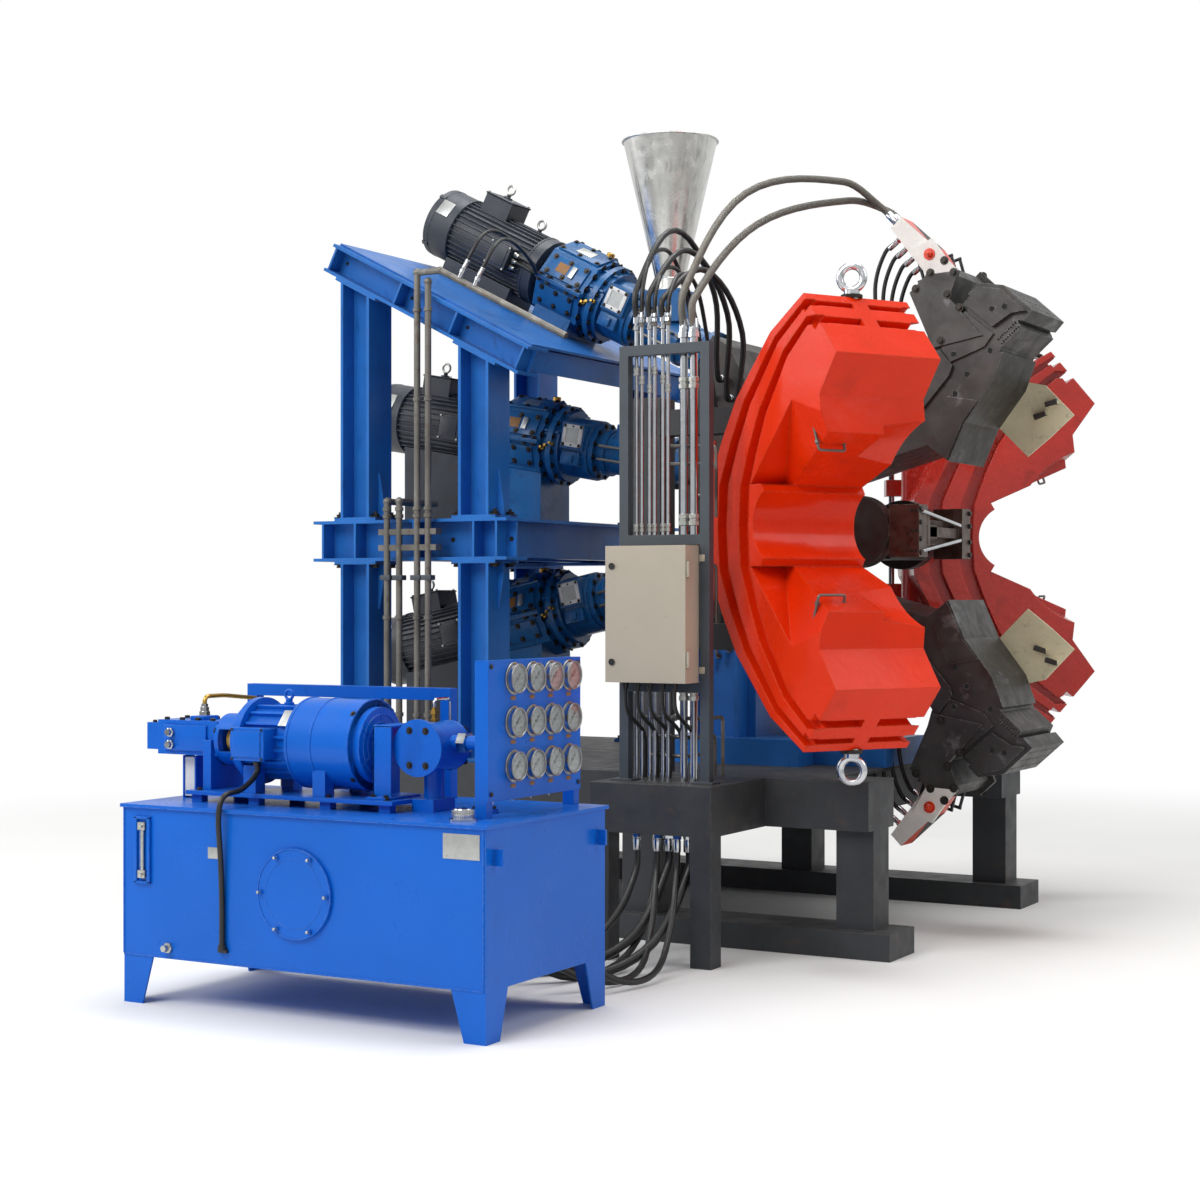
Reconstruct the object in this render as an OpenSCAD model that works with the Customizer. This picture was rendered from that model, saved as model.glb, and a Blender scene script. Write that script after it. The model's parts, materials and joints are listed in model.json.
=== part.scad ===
/* [Base] */
// Rear end of the base frame along X
base_x0 = -1900; // [-1960:10:-1860]
// Front end of the base frame along X
base_x1 = 1380; // [1300:10:1440]
// Half width of the base frame over its side beams
base_half = 1060; // [1040:10:1120]
// Width of one side beam
base_beam_w = 300; // [280:10:320]
// Height of the base frame's top face
base_top = 790; // [770:5:810]
// Depth of the base beams
base_beam_h = 220; // [180:10:240]
// Thickness of the floor rails
floor_rail_h = 120; // [80:10:160]
// Distance between the anchor holes along X
anchor_dx = 2700; // [2600:50:2800]
// Distance between the anchor holes along Y
anchor_dy = 1820; // [1800:10:1840]
// Radius of an anchor hole
anchor_r = 16; // [12:1:20]
/* [Tower] */
// Half width of the tower over its columns
tower_half = 950; // [930:5:960]
// Centre of the rear columns along X
col_rear_x = -1505; // [-1530:5:-1480]
// Centre of the front columns along X
col_front_x = -778; // [-800:5:-760]
// Column section along X
col_depth = 180; // [160:5:200]
// Column section along Y
col_width = 200; // [180:5:210]
// Flange thickness of the rolled sections
flange_t = 16; // [10:1:20]
// Web thickness of the rolled sections
web_t = 10; // [8:1:14]
// Underside of the middle deck
deck_z = 1800; // [1780:5:1820]
// Depth of the deck beams
deck_h = 210; // [190:5:220]
// Rear end of the middle deck
deck_x0 = -1770; // [-1800:5:-1740]
// Front end of the middle deck
deck_x1 = -583; // [-600:1:-570]
// Slope of the top deck and of the top extruder in degrees
top_pitch = 27; // [26:0.5:28]
// Height of the top deck's underside above the rear columns' centre
top_deck_z = 3215; // [3195:5:3225]
// Depth of the top deck beams
top_deck_h = 150; // [130:5:160]
// Width of the top deck beams' flanges
top_deck_w = 190; // [180:5:200]
// Overhang of the top deck behind the rear columns
top_deck_back = 225; // [180:5:240]
// Length of the top deck along its slope
top_deck_len = 1330; // [1300:5:1350]
/* [Extruders] */
// Slope of the middle extruder in degrees
mid_pitch = 10; // [8:0.5:11]
// Slope of the bottom extruder in degrees
low_pitch = -12; // [-13:0.5:-11]
// Height of the middle extruder's docking point
mid_dock_z = 2290; // [2280:5:2300]
// Height of the bottom extruder's docking point
low_dock_z = 1718; // [1705:5:1730]
// Outer radius of a barrel jacket
barrel_r = 110; // [100:2:115]
// Radius of the barrel bore
bore_r = 45; // [38:1:50]
// Length of a barrel from its gearbox to the head
barrel_len = 600; // [580:10:610]
// Radius of the drive motors
motor_r = 190; // [170:5:200]
// Length of the drive motors
motor_len = 800; // [740:10:820]
// Radial clearance between a screw and its barrel
screw_gap = 0.1; // [0.05:0.01:0.1]
// Pitch of the screw flight
flight_pitch = 96; // [80:2:120]
/* [Hopper] */
// Radius of the hopper's rim
hopper_r = 245; // [220:5:260]
// Radius of the hopper's outlet
outlet_r = 78; // [65:1:80]
// Height of the hopper's cone
hopper_h = 720; // [690:10:780]
// Sheet thickness of the hopper
hopper_t = 3; // [2:0.5:5]
/* [Head] */
// Height of the head's parting plane
head_z = 1930; // [1925:1:1935]
// Front of the head's rear block
head_back_x = 500; // [480:5:505]
// Half width of the head
head_half = 340; // [330:5:345]
// Front end of the centre body
centre_x1 = 1160; // [1120:5:1170]
// Half width of the centre body
centre_half = 240; // [220:5:245]
// Half height of the centre body
centre_h = 130; // [110:5:135]
// Half width of a jaw
jaw_half = 250; // [240:2:255]
// Distance of the jaw pivot behind the head's front face
jaw_pivot_back = 80; // [70:5:90]
// Height of a jaw pivot above the parting plane
jaw_pivot_z = 280; // [275:1:285]
// Radius of the jaw pivot pins
jaw_pin_r = 30; // [24:1:34]
// Opening angle of a jaw in degrees
jaw_open = 16; // [15:0.5:16]
/* [Clamps] */
// Thickness of a clamp along its swing axis plane
clamp_w = 560; // [540:5:570]
// Radius of the clamp hinge pins
clamp_pin_r = 42; // [34:1:46]
// Depth of the casting's face grooves
groove_d = 45; // [30:1:55]
// Running gap between bodies
run_gap = 0.3; // [0.2:0.05:0.5]
/* [Rack] */
// Section of the rack's square tube
rack_tube = 45; // [40:1:50]
// Wall of the rack's square tube
rack_wall = 4; // [3:0.5:5]
// Height of the rack's top
rack_top = 2740; // [2700:5:2760]
// Centre of the rack's left post
rack_x0 = 372; // [365:1:375]
// Centre of the rack's right post
rack_x1 = 778; // [770:1:785]
// Front face of the rack
rack_y = -1480; // [-1490:1:-1475]
/* [Cabinet] */
// Width of the cabinet
cab_w = 400; // [380:5:420]
// Height of the cabinet
cab_h = 605; // [580:5:620]
// Depth of the cabinet with its door
cab_d = 130; // [110:5:150]
// Underside of the cabinet
cab_z = 1235; // [1230:5:1250]
// Sheet thickness of the cabinet
cab_t = 4; // [2:0.5:5]
// Thickness of the cabinet door
door_t = 20; // [14:1:24]
/* [Power unit] */
// Length of the oil tank
tank_l = 1710; // [1680:5:1740]
// Width of the oil tank
tank_w = 870; // [860:5:900]
// Height of the tank's top above the floor
tank_top = 790; // [780:2:800]
// Height of the tank's legs
tank_leg = 190; // [170:5:210]
// Sheet thickness of the tank
tank_t = 8; // [5:1:10]
// Overhang and thickness of the tank's lid
lid_t = 14; // [10:1:18]
// Front face of the tank
tank_y = -3390; // [-3410:5:-3370]
// Centre of the tank along X
tank_x = 5; // [-10:1:20]
// Radius of the manhole cover
manhole_r = 174; // [160:2:180]
// Height of the motor axis above the lid
pump_axis_h = 245; // [235:5:250]
// Radius of the pump motor's frame
pm_r = 150; // [135:5:155]
// Radius of the fan cowl
cowl_r = 178; // [170:2:182]
/* [Gauges] */
// Width of the gauge panel
panel_w = 680; // [660:5:700]
// Height of the gauge panel
panel_h = 585; // [565:5:600]
// Distance between gauge columns
gauge_dy = 137; // [134:1:142]
// Distance between gauge rows
gauge_dz = 165; // [158:1:168]
// Radius of a gauge flange
gauge_r = 62; // [56:1:64]
// Radius of a gauge dial
dial_r = 50; // [44:1:52]
/* [Hidden] */
$fn = 48;
EPS = 1;
BLUE = "#1F66C0";
TANK_BLUE = "#1457B8";
STEEL = "#4A4A4C";
SLATE = "#50585F";
base_plate_x1 = 1140;
base_plate_t = 16;
deck_plate_t = 12;
// tower
deck_top_z = deck_z + deck_h;
deck_inner = tower_half - col_width;
// head
rear_x = 60;
pivot_x = head_back_x - jaw_pivot_back;
seat_z = head_z + 620;
seat_len = 420;
dock_seat = 285;
shoulder_x = centre_x1 - 140;
shoulder_r = 175;
shoulder_half = centre_half + 110;
top_dock = [rear_x + dock_seat * sin(top_pitch), 0, seat_z + dock_seat * cos(top_pitch)];
mid_dock = [rear_x - 50, 0, mid_dock_z];
low_dock = [rear_x - 50, 0, low_dock_z];
// clamps
hinge_x = 850;
hinge_y = 960;
spine_t = 290;
clamp_hub_r = 96;
mouth_x = 720;
groove_reach = 240;
groove_inset = 3;
groove_scales = [[[0.9, 0.97], [0.81, 0.94]], [[0.69, 0.895], [0.6, 0.856]]];
facet_tilt = 22.5;
facet_turn = -7.5;
facet_depth = 15;
recess_d = 231;
recess_r = 447;
recess_flare = 28;
arm_z0 = 440;
arm_z1 = 560;
post_x0 = 150;
post_x1 = 330;
// cabinet
cab_x = 550 - cab_w / 2;
cab_face_y = rack_y - cab_d;

// tank
tank_x0 = tank_x - tank_l / 2;
tank_x1 = tank_x + tank_l / 2;
tank_y1 = tank_y + tank_w;
pump_y = tank_y + 340;
pump_z = tank_top + pump_axis_h;
panel_x = tank_x1 - 120;
panel_y = tank_y + 190;
gauge_y0 = panel_y + (panel_w - 3 * gauge_dy) / 2 + 40;
gauge_z0 = tank_top + panel_h - 70;

// A block between two corners, given as a range along each axis
module block(x, y, z) {
    translate([x[0], y[0], z[0]])
        cube([x[1] - x[0], y[1] - y[0], z[1] - z[0]]);
}

// Both sides of the machine
module both_sides() {
    children();
    mirror([0, 1, 0]) children();
}

// A cylinder along +X
module rod_x(x0, x1, r) {
    translate([x0, 0, 0]) rotate([0, 90, 0]) cylinder(h = x1 - x0, r = r);
}

// A rolled section along X: flanges above and below one web
module beam_x(x0, x1, w, h) {
    block([x0, x1], [0, w], [0, flange_t]);
    block([x0, x1], [0, w], [h - flange_t, h]);
    block([x0, x1], [(w - web_t) / 2, (w + web_t) / 2], [0, h]);
}

// A column: flanges facing along X, one web between them
module column(z0, z1) {
    d = col_depth / 2;
    block([-d, -d + flange_t], [0, col_width], [z0, z1]);
    block([d - flange_t, d], [0, col_width], [z0, z1]);
    block([-d, d], [(col_width - web_t) / 2, (col_width + web_t) / 2], [z0, z1]);
}

module base_frame() {
    color("#3B3F44") difference() {
        union() {
            both_sides() {
                block([base_x0, base_x1], [base_half - base_beam_w, base_half],
                    [base_top - base_beam_h, base_top]);
                block([base_x0, base_x1 + 100], [base_half - base_beam_w, base_half],
                    [0, floor_rail_h]);
                for (x = [base_x0, -900, 100, base_x1 - 180])
                    block([x, x + 180], [base_half - 240, base_half - 60],
                        [floor_rail_h - EPS, base_top - base_beam_h + EPS]);
            }
            for (x = [base_x0, -900, 0, 860])
                block([x, x + 200], [-base_half + EPS, base_half - EPS],
                    [base_top - base_beam_h, base_top]);
            // deck plate under the extruders and the head
            block([base_x0 + EPS, base_plate_x1], [-base_half + EPS, base_half - EPS],
                [base_top - base_plate_t, base_top]);
            // outrigger that carries the pipe rack
            block([rack_x0 - 100, rack_x1 + 100], [rack_y - 140, -base_half + EPS],
                [base_top - base_beam_h, base_top]);
            for (x = [rack_x0 - 100, rack_x1])
                block([x, x + 100], [rack_y - 140, rack_y - 40], [0, base_top - base_beam_h + EPS]);
        }
        for (x = [-anchor_dx / 2, anchor_dx / 2], y = [-anchor_dy / 2, anchor_dy / 2])
            translate([x, y, -EPS]) cylinder(h = floor_rail_h + 2 * EPS, r = anchor_r);
    }
}

function top_deck_under(x) = top_deck_z - (x - col_rear_x) * tan(top_pitch);

module columns() {
    color(BLUE) both_sides() {
        for (x = [col_rear_x, col_front_x]) {
            translate([x, deck_inner, 0]) {
                column(base_top + flange_t, deck_z - flange_t);
                block([-130, 130], [-20, col_width], [base_top, base_top + flange_t]);
                block([-130, 130], [-20, col_width], [deck_z - flange_t, deck_z]);
                block([-130, 130], [-20, col_width], [deck_top_z, deck_top_z + flange_t]);
                difference() {
                    column(deck_top_z + flange_t, top_deck_z + 200);
                    translate([0, -EPS, top_deck_under(x) - flange_t]) rotate([0, top_pitch, 0])
                        block([-400, 400], [-EPS, col_width + 3 * EPS], [0, 600]);
                }
                translate([0, 0, top_deck_under(x) - flange_t]) rotate([0, top_pitch, 0])
                    block([-140, 140], [-20, col_width], [0, flange_t * cos(top_pitch)]);
            }
        }
    }
}

module deck_mid() {
    color(BLUE) {
        both_sides() {
            translate([0, deck_inner, deck_z]) beam_x(deck_x0, deck_x1, col_width, deck_h);
            for (x = [deck_x0 + 60, col_rear_x, -1140, col_front_x, deck_x1 - 60])
                block([x - 6, x + 6], [deck_inner, tower_half],
                    [deck_z + flange_t - EPS, deck_top_z - flange_t + EPS]);
        }
        for (x = [deck_x0 + 90, -1230, deck_x1 - 200])
            block([x, x + 110], [-deck_inner - 60, deck_inner + 60],
                [deck_z + flange_t, deck_top_z - flange_t]);
        block([deck_x0 + 10, deck_x1 - 10], [-deck_inner - EPS, deck_inner + EPS],
            [deck_top_z - flange_t, deck_top_z]);
    }
}

// Frame of the top deck: origin over the rear columns, X down the slope
module on_top_deck() {
    translate([col_rear_x, 0, top_deck_z]) rotate([0, top_pitch, 0])
        translate([-top_deck_back, 0, 0]) children();
}

module deck_top() {
    color(BLUE) on_top_deck() {
        both_sides()
            translate([0, tower_half - top_deck_w, 0]) beam_x(0, top_deck_len, top_deck_w, top_deck_h);
        for (x = [40, 620, top_deck_len - 150])
            block([x, x + 110], [-tower_half + top_deck_w / 2, tower_half - top_deck_w / 2],
                [flange_t, top_deck_h - flange_t]);
        block([10, top_deck_len - 10], [-tower_half + 40, tower_half - 40],
            [top_deck_h - EPS, top_deck_h + deck_plate_t]);
    }
}

// Local frame of an extruder: origin at its docking face, X towards the head
module at_extruder(dock, pitch) {
    translate(dock) rotate([0, pitch, 0]) children();
}

gear_len = 560;
gear_x1 = -barrel_len;
gear_x0 = gear_x1 - gear_len;
motor_x1 = gear_x0 - 20;

module drive_motor() {
    rotate([0, 90, 0]) translate([0, 0, motor_x1 - motor_len]) {
        cylinder(h = 160, r = motor_r);
        translate([0, 0, 160 - EPS]) cylinder(h = motor_len - 260, r = motor_r - 18);
        translate([0, 0, motor_len - 110]) cylinder(h = 60, r = motor_r - 4);
        translate([0, 0, motor_len - 51]) cylinder(h = 71, r = motor_r * 0.6);
    }
    // terminal boxes
    block([motor_x1 - 560, motor_x1 - 380], [-90, 90], [motor_r - 60, motor_r + 70]);
    block([motor_x1 - 300, motor_x1 - 180], [-motor_r - 50, -motor_r + 60], [-60, 60]);
}

module gearbox() {
    difference() {
        union() {
            // polygonal gear case
            rotate([0, 90, 0]) translate([0, 0, gear_x0]) cylinder(h = 300, r = 225, $fn = 8);
            rotate([0, 90, 0]) translate([0, 0, gear_x0 + 299]) cylinder(h = 101, r = 190);
            rod_x(gear_x0 + 340, gear_x0 + 370, 215);
            // thrust housing with the sight window
            rotate([0, 90, 0]) translate([0, 0, gear_x0 + 399]) cylinder(h = 161, r = 160);
            block([gear_x0 + 410, gear_x1 - 10], [-185, -100], [-10, 130]);
        }
        rod_x(gear_x0 + 420, gear_x1 + EPS, bore_r);
        block([gear_x0 + 440, gear_x1 - 40], [-186, -172], [15, 105]);
    }
}

feed_x = -400;
feed_half = 80;
barrel_flange_r = 150;

module barrel_solid() {
    rod_x(-barrel_len, -barrel_len + 30, barrel_flange_r);
    rod_x(-barrel_len + 29, -130, barrel_r);
    for (x = [-barrel_len + 60, -barrel_len + 290]) rod_x(x, x + 24, barrel_r + 14);
    rod_x(-150, -120, 135);
    rotate([0, 90, 0]) translate([0, 0, -121]) cylinder(h = 91, r1 = 105, r2 = 75);
    rod_x(-31, 0, 120);
}

module barrel_bores() {
    rod_x(-barrel_len - EPS, -110, bore_r);
    rod_x(-111, EPS, 24);
}

// A barrel with an open feed box over its screw
module barrel() {
    difference() {
        union() {
            barrel_solid();
            block([feed_x - feed_half, feed_x + feed_half], [-feed_half, feed_half], [0, barrel_r + 45]);
        }
        barrel_bores();
        block([feed_x - feed_half + 15, feed_x + feed_half - 15], [-bore_r + 6, bore_r - 6],
            [0, barrel_r + 46]);
    }
}

// The top barrel carries the hopper on a level feed box
module hopper_barrel() {
    difference() {
        union() {
            at_extruder(top_dock, top_pitch) barrel_solid();
            block([hopper_x - 100, hopper_x + 100], [-100, 100], [hopper_base_z - 170, hopper_base_z]);
        }
        at_extruder(top_dock, top_pitch) barrel_bores();
        translate([hopper_x, 0, hopper_base_z - 175]) cylinder(h = 175 + EPS, r = bore_r - 4);
    }
}

// One starting flight on a root, as a cross-section
module flight_section(root, tip) {
    polygon([for (a = [0:30:330]) let (r = a == 0 ? tip : a == 30 || a == 330 ? (root + tip) / 2 : root)
        [r * cos(a), r * sin(a)]]);
}

screw_x0 = -barrel_len - 120;
screw_x1 = -125;

module screw() {
    len = screw_x1 + barrel_len - 30;
    tip = bore_r - screw_gap;
    rod_x(screw_x0, -barrel_len + 31, bore_r - screw_gap);
    translate([-barrel_len + 30, 0, 0]) rotate([0, 90, 0])
        linear_extrude(height = len, twist = -360 * len / flight_pitch, slices = 54, segments = 12)
            flight_section(bore_r * 0.66, tip);
}

// Pedestal from a level floor up into the case between l0 and l1 along the axis
module pedestal(dock, pitch, l0, l1, half_w, floor_z, drop) {
    axis_z = function(l) dock[2] - l * sin(pitch) - drop;
    axis_x = function(l) dock[0] + l * cos(pitch);
    prism_y(-half_w, half_w) polygon([[axis_x(l0), floor_z], [axis_x(l1), floor_z],
        [axis_x(l1), axis_z(l1)], [axis_x(l0), axis_z(l0)]]);
}

top_foot = (top_dock[2] + (top_dock[0] - col_rear_x) * tan(top_pitch) - top_deck_z) * cos(top_pitch)
    - top_deck_h - deck_plate_t;
gear_foot = [gear_x0 + 30, gear_x0 + 270];
motor_foot = [motor_x1 - 620, motor_x1 - 160];

module level_motor(dock, pitch, floor_z) {
    color("#2B2E33") {
        at_extruder(dock, pitch) drive_motor();
        pedestal(dock, pitch, motor_foot[0], motor_foot[1], 130, floor_z, motor_r - 40);
    }
}

module level_gearbox(dock, pitch, floor_z) {
    color(BLUE) {
        at_extruder(dock, pitch) gearbox();
        pedestal(dock, pitch, gear_foot[0], gear_foot[1], 150, floor_z, 150);
    }
}

module motor_top() {
    color("#2B2E33") at_extruder(top_dock, top_pitch) {
        drive_motor();
        block(motor_foot, [-130, 130], [-top_foot, 40 - motor_r]);
    }
}

module gearbox_top() {
    color(BLUE) at_extruder(top_dock, top_pitch) {
        gearbox();
        block(gear_foot, [-170, 170], [-top_foot, -150]);
    }
}

module motor_mid() { level_motor(mid_dock, mid_pitch, deck_top_z); }
module motor_low() { level_motor(low_dock, low_pitch, base_top); }
module gearbox_mid() { level_gearbox(mid_dock, mid_pitch, deck_top_z); }
module gearbox_low() { level_gearbox(low_dock, low_pitch, base_top); }
module barrel_top() { color(BLUE) hopper_barrel(); }
module barrel_mid() { color(BLUE) at_extruder(mid_dock, mid_pitch) barrel(); }
module barrel_low() { color(BLUE) at_extruder(low_dock, low_pitch) barrel(); }
module screw_top() { color("silver") at_extruder(top_dock, top_pitch) screw(); }
module screw_mid() { color("silver") at_extruder(mid_dock, mid_pitch) screw(); }
module screw_low() { color("silver") at_extruder(low_dock, low_pitch) screw(); }

// A flat outline in X and Z, thickened along Y
module prism_y(y0, y1) {
    translate([0, y1, 0]) rotate([90, 0, 0]) linear_extrude(height = y1 - y0) children();
}

// A cylinder along Y at x, z
module rod_y(x, z, y0, y1, r) {
    translate([x, y1, z]) rotate([90, 0, 0]) cylinder(h = y1 - y0, r = r);
}

module feed_hopper() {
    h0 = hopper_base_z;
    color("silver") translate([hopper_x, 0, h0]) rotate_extrude($fn = 64) polygon([
        [outlet_r - hopper_t, 0], [outlet_r + 20, 0], [outlet_r + 20, 10], [outlet_r, 10],
        [outlet_r, 60], [hopper_r, 60 + hopper_h], [hopper_r + 8, 60 + hopper_h],
        [hopper_r + 8, 68 + hopper_h], [hopper_r - hopper_t, 68 + hopper_h],
        [outlet_r - hopper_t, 62]]);
}

hopper_x = -165;
hopper_base_z = top_dock[2] + barrel_len * sin(top_pitch) + barrel_flange_r * cos(top_pitch) + 6;

module head_stand() {
    color(BLUE) {
        block([20, 760], [-430, 430], [base_top, base_top + 130]);
        block([760 - EPS, 1140], [-260, 260], [base_top, base_top + 130]);
        block([110, 470], [-300, 300], [base_top + 130 - EPS, head_z - 500]);
        both_sides() for (x = [160, 400])
            prism_y(299, 400) polygon([[x, base_top + 129], [x + 20, base_top + 129],
                [x + 20, head_z - 560], [x, head_z - 560]]);
    }
}

// Both the upper and the lower half of the head
module both_halves() {
    children();
    translate([0, 0, 2 * head_z]) mirror([0, 0, 1]) children();
}

module head_body() {
    seat = [rear_x + seat_len * sin(top_pitch), seat_z + seat_len * cos(top_pitch)];
    color("#4A4A4C") difference() {
        union() {
            prism_y(-head_half, head_half) polygon([[rear_x, head_z - 500], [head_back_x, head_z - 500],
                [head_back_x, seat_z], [seat[0] + 90, seat[1] - 60], seat, [rear_x, seat_z]]);
            block([rear_x, centre_x1], [-centre_half, centre_half], [head_z - centre_h, head_z + centre_h]);
            // round shoulders beside the centre body
            rod_y(shoulder_x, head_z, -shoulder_half, shoulder_half, centre_h - 5);
            both_sides() rod_y(shoulder_x, head_z, jaw_half + 10, shoulder_half, shoulder_r);
            // inlets of the middle and bottom extruders
            translate(mid_dock) rotate([0, mid_pitch, 0]) rod_x(0, 120, 120);
            translate(low_dock) rotate([0, low_pitch, 0]) rod_x(0, 120, 120);
        }
        both_halves() {
            // slot in which the jaw's arm turns
            block([pivot_x - 110, head_back_x + EPS], [-jaw_half - 5, jaw_half + 5],
                [head_z + centre_h, head_z + jaw_pivot_z + 150]);
            rod_y(pivot_x, head_z + jaw_pivot_z, -head_half - EPS, head_half + EPS, jaw_pin_r);
        }
        translate(top_dock) rotate([0, top_pitch, 0]) rod_x(-EPS, 90, 24);
        translate(mid_dock) rotate([0, mid_pitch, 0]) rod_x(-EPS, 160, 24);
        translate(low_dock) rotate([0, low_pitch, 0]) rod_x(-EPS, 160, 24);
    }
}

cassette_x1 = centre_x1 + 190;

module die_cassette() {
    y1 = centre_half + 110;
    color("#3A3A3C") {
        both_sides() {
            block([shoulder_x + shoulder_r + run_gap, cassette_x1 - 46], [y1 - 100, y1],
                [head_z - 125, head_z + 125]);
            block([cassette_x1 - 46, cassette_x1], [y1 - 108, y1 + 8], [head_z - 125, head_z + 125]);
        }
        block([centre_x1, cassette_x1 - 60], [-y1 + 99, y1 - 99], [head_z - 60, head_z + 60]);
        block([cassette_x1 - 61, cassette_x1 - 20], [-y1 + 99, y1 - 99], [head_z - 24, head_z + 24]);
    }
}

hinge_z0 = head_z - arm_z1;

module clamp_posts() {
    color("#3B3F44") both_sides() {
        block([post_x0, post_x1], [900, 1050], [base_top, head_z + arm_z1 + 60]);
        for (z = [head_z + arm_z0, head_z - arm_z1]) {
            block([post_x1 - EPS, hinge_x], [930, 1045], [z, z + arm_z1 - arm_z0]);
            translate([hinge_x, hinge_y, z]) cylinder(h = arm_z1 - arm_z0, r = 78);
        }
        translate([hinge_x, hinge_y, hinge_z0 - 20])
            cylinder(h = 2 * arm_z1 + 40, r = clamp_pin_r - 0.05);
        translate([hinge_x, hinge_y, hinge_z0 + 2 * arm_z1 + 19]) cylinder(h = 22, r = 60);
    }
}

// The casting's outline: X towards the mouth from the hinge axis, Y up
clamp_outer = [[650, 980], [404, 840], [140, 570], [26, 390], [-71, 200], [-88, 0]];
clamp_tip = [[882, 706], [765, 540], [783, 380], [334, 180]];

function flip(points) = [for (i = [len(points) - 1:-1:0]) [points[i][0], -points[i][1]]];

module clamp_outline() {
    difference() {
        polygon(concat(clamp_outer, flip([for (i = [0:4]) clamp_outer[i]]),
            [for (p = clamp_tip) [p[0], -p[1]]], [[440, 0]], [for (i = [3:-1:0]) clamp_tip[i]]));
        translate([spine_t + 150, 0]) circle(r = 170);
    }
}

// A face groove between two rings, each the outer outline scaled along X and Z about the mouth
module groove_band(outer, inner) {
    ring = function(k) [for (p = concat(clamp_outer, flip([for (i = [0:4]) clamp_outer[i]])))
        [mouth_x + (p[0] - mouth_x) * k[0], p[1] * k[1]]];
    closed = function(k, x) let (z = clamp_outer[0][1] * k[1]) concat([[x, z]], ring(k), [[x, -z]]);
    difference() {
        polygon(closed(outer, mouth_x + 300));
        polygon(closed(inner, mouth_x + 301));
    }
}

// The band's run across the sloping end face of the tip, between two heights
module groove_end(z0, z1) {
    a = clamp_outer[0];
    b = clamp_tip[0];
    slope = (b - a) / norm(b - a);
    out = [-slope[1], slope[0]];
    on = function(z) a + slope * (a[1] - z) / -slope[1];
    polygon([on(z0) + out, on(z1) + out, on(z1) - out * groove_d, on(z0) - out * groove_d]);
}

// Slanting facet that leads from the face into the mouth
module mouth_facet() {
    intersection() {
        prism_y(-clamp_w / 2 - EPS, 0)
            polygon([[253, 182], [564, 530], [765, 541], [1000, 541], [1000, 182]]);
        rotate([facet_tilt, 0, facet_turn]) block([-1500, 1500], [-1500, facet_depth], [-1500, 1500]);
    }
}

module clamp_casting() {
    difference() {
        union() {
            prism_y(-clamp_w / 2, clamp_w / 2) clamp_outline();
            translate([0, 0, -arm_z0 + run_gap]) cylinder(h = 2 * (arm_z0 - run_gap), r = clamp_hub_r);
            // cast lugs with the locking rod
            for (z = [-330, 240]) block([-150, 60], [-clamp_w / 2, -clamp_w / 2 + 90], [z, z + 90]);
            translate([-115, -clamp_w / 2 + 45, -400]) cylinder(h = 800, r = 16);
        }
        for (m = [0, 1]) mirror([0, m, 0]) {
            prism_y(-clamp_w / 2 - EPS, -clamp_w / 2 + groove_d) for (band = groove_scales)
                groove_band(band[0], band[1]);
            for (k = [0, 1]) mirror([0, 0, k])
                prism_y(-clamp_w / 2 - EPS, -clamp_w / 2 + groove_reach) for (band = groove_scales)
                    groove_end(band[0][1] * clamp_outer[0][1] - groove_inset,
                        band[1][1] * clamp_outer[0][1] + groove_inset);
        }
        for (k = [0, 1]) mirror([0, 0, k]) mouth_facet();
        // conical recess in the inner face for the shoulder of the closed head
        translate([mouth_x + 210, clamp_w / 2 - recess_d, 0]) rotate([-90, 0, 0])
            cylinder(h = recess_d + EPS, r1 = recess_r, r2 = recess_r + recess_flare);
        translate([0, 0, -1000]) cylinder(h = 2000, r = clamp_pin_r);
        for (z = [-660, arm_z0 - run_gap]) translate([0, 0, z])
            cylinder(h = 660 - arm_z0 + run_gap, r = clamp_hub_r + 10);
    }
    // lifting eyes
    for (m = [0, 1]) mirror([0, 0, m]) translate([620, 0, 975]) {
        cylinder(h = 40, r = 34);
        translate([0, 0, 95]) rotate([90, 0, 40]) rotate_extrude() translate([52, 0])
            circle(r = 17, $fn = 24);
    }
}

module clamp_near() {
    color("#D4350F") translate([hinge_x, -hinge_y, head_z]) rotate([0, 0, -30]) clamp_casting();
}

module clamp_far() {
    color("#A8200F") mirror([0, 1, 0]) translate([hinge_x, -hinge_y, head_z]) rotate([0, 0, -30])
        clamp_casting();
}

// Frame of a jaw: origin on its pivot, X forward in the closed head
module at_jaw() {
    translate([pivot_x, 0, head_z + jaw_pivot_z]) rotate([0, -jaw_open, 0]) children();
}

module jaw() {
    difference() {
        union() {
            prism_y(-jaw_half, jaw_half) polygon([[-60, 30], [710, 30], [930, 75], [1030, 250],
                [1092, 301], [1267, 464], [1382, 527], [1494, 475], [1594, 314], [1540, 280],
                [1515, 292], [1520, 252], [1404, 195], [1390, 178], [1408, 173], [1318, 52],
                [1136, -85], [1010, -238], [930, -130], [-60, -130]]);
            // ejector housing between the side plates
            prism_y(-jaw_half, jaw_half) polygon([[1075, 290], [1075, 580], [1250, 670],
                [1285, 605], [1215, 500], [1268, 462], [1120, 310]]);
            rod_y(0, 0, -head_half, head_half, jaw_pin_r - 0.05);
        }
        // pocket in the near cheek
        prism_y(-jaw_half - EPS, -jaw_half + 40)
            polygon([[1250, 420], [1330, 480], [1290, 520], [1235, 480]]);
    }
}

loop_r = 8;

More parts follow.
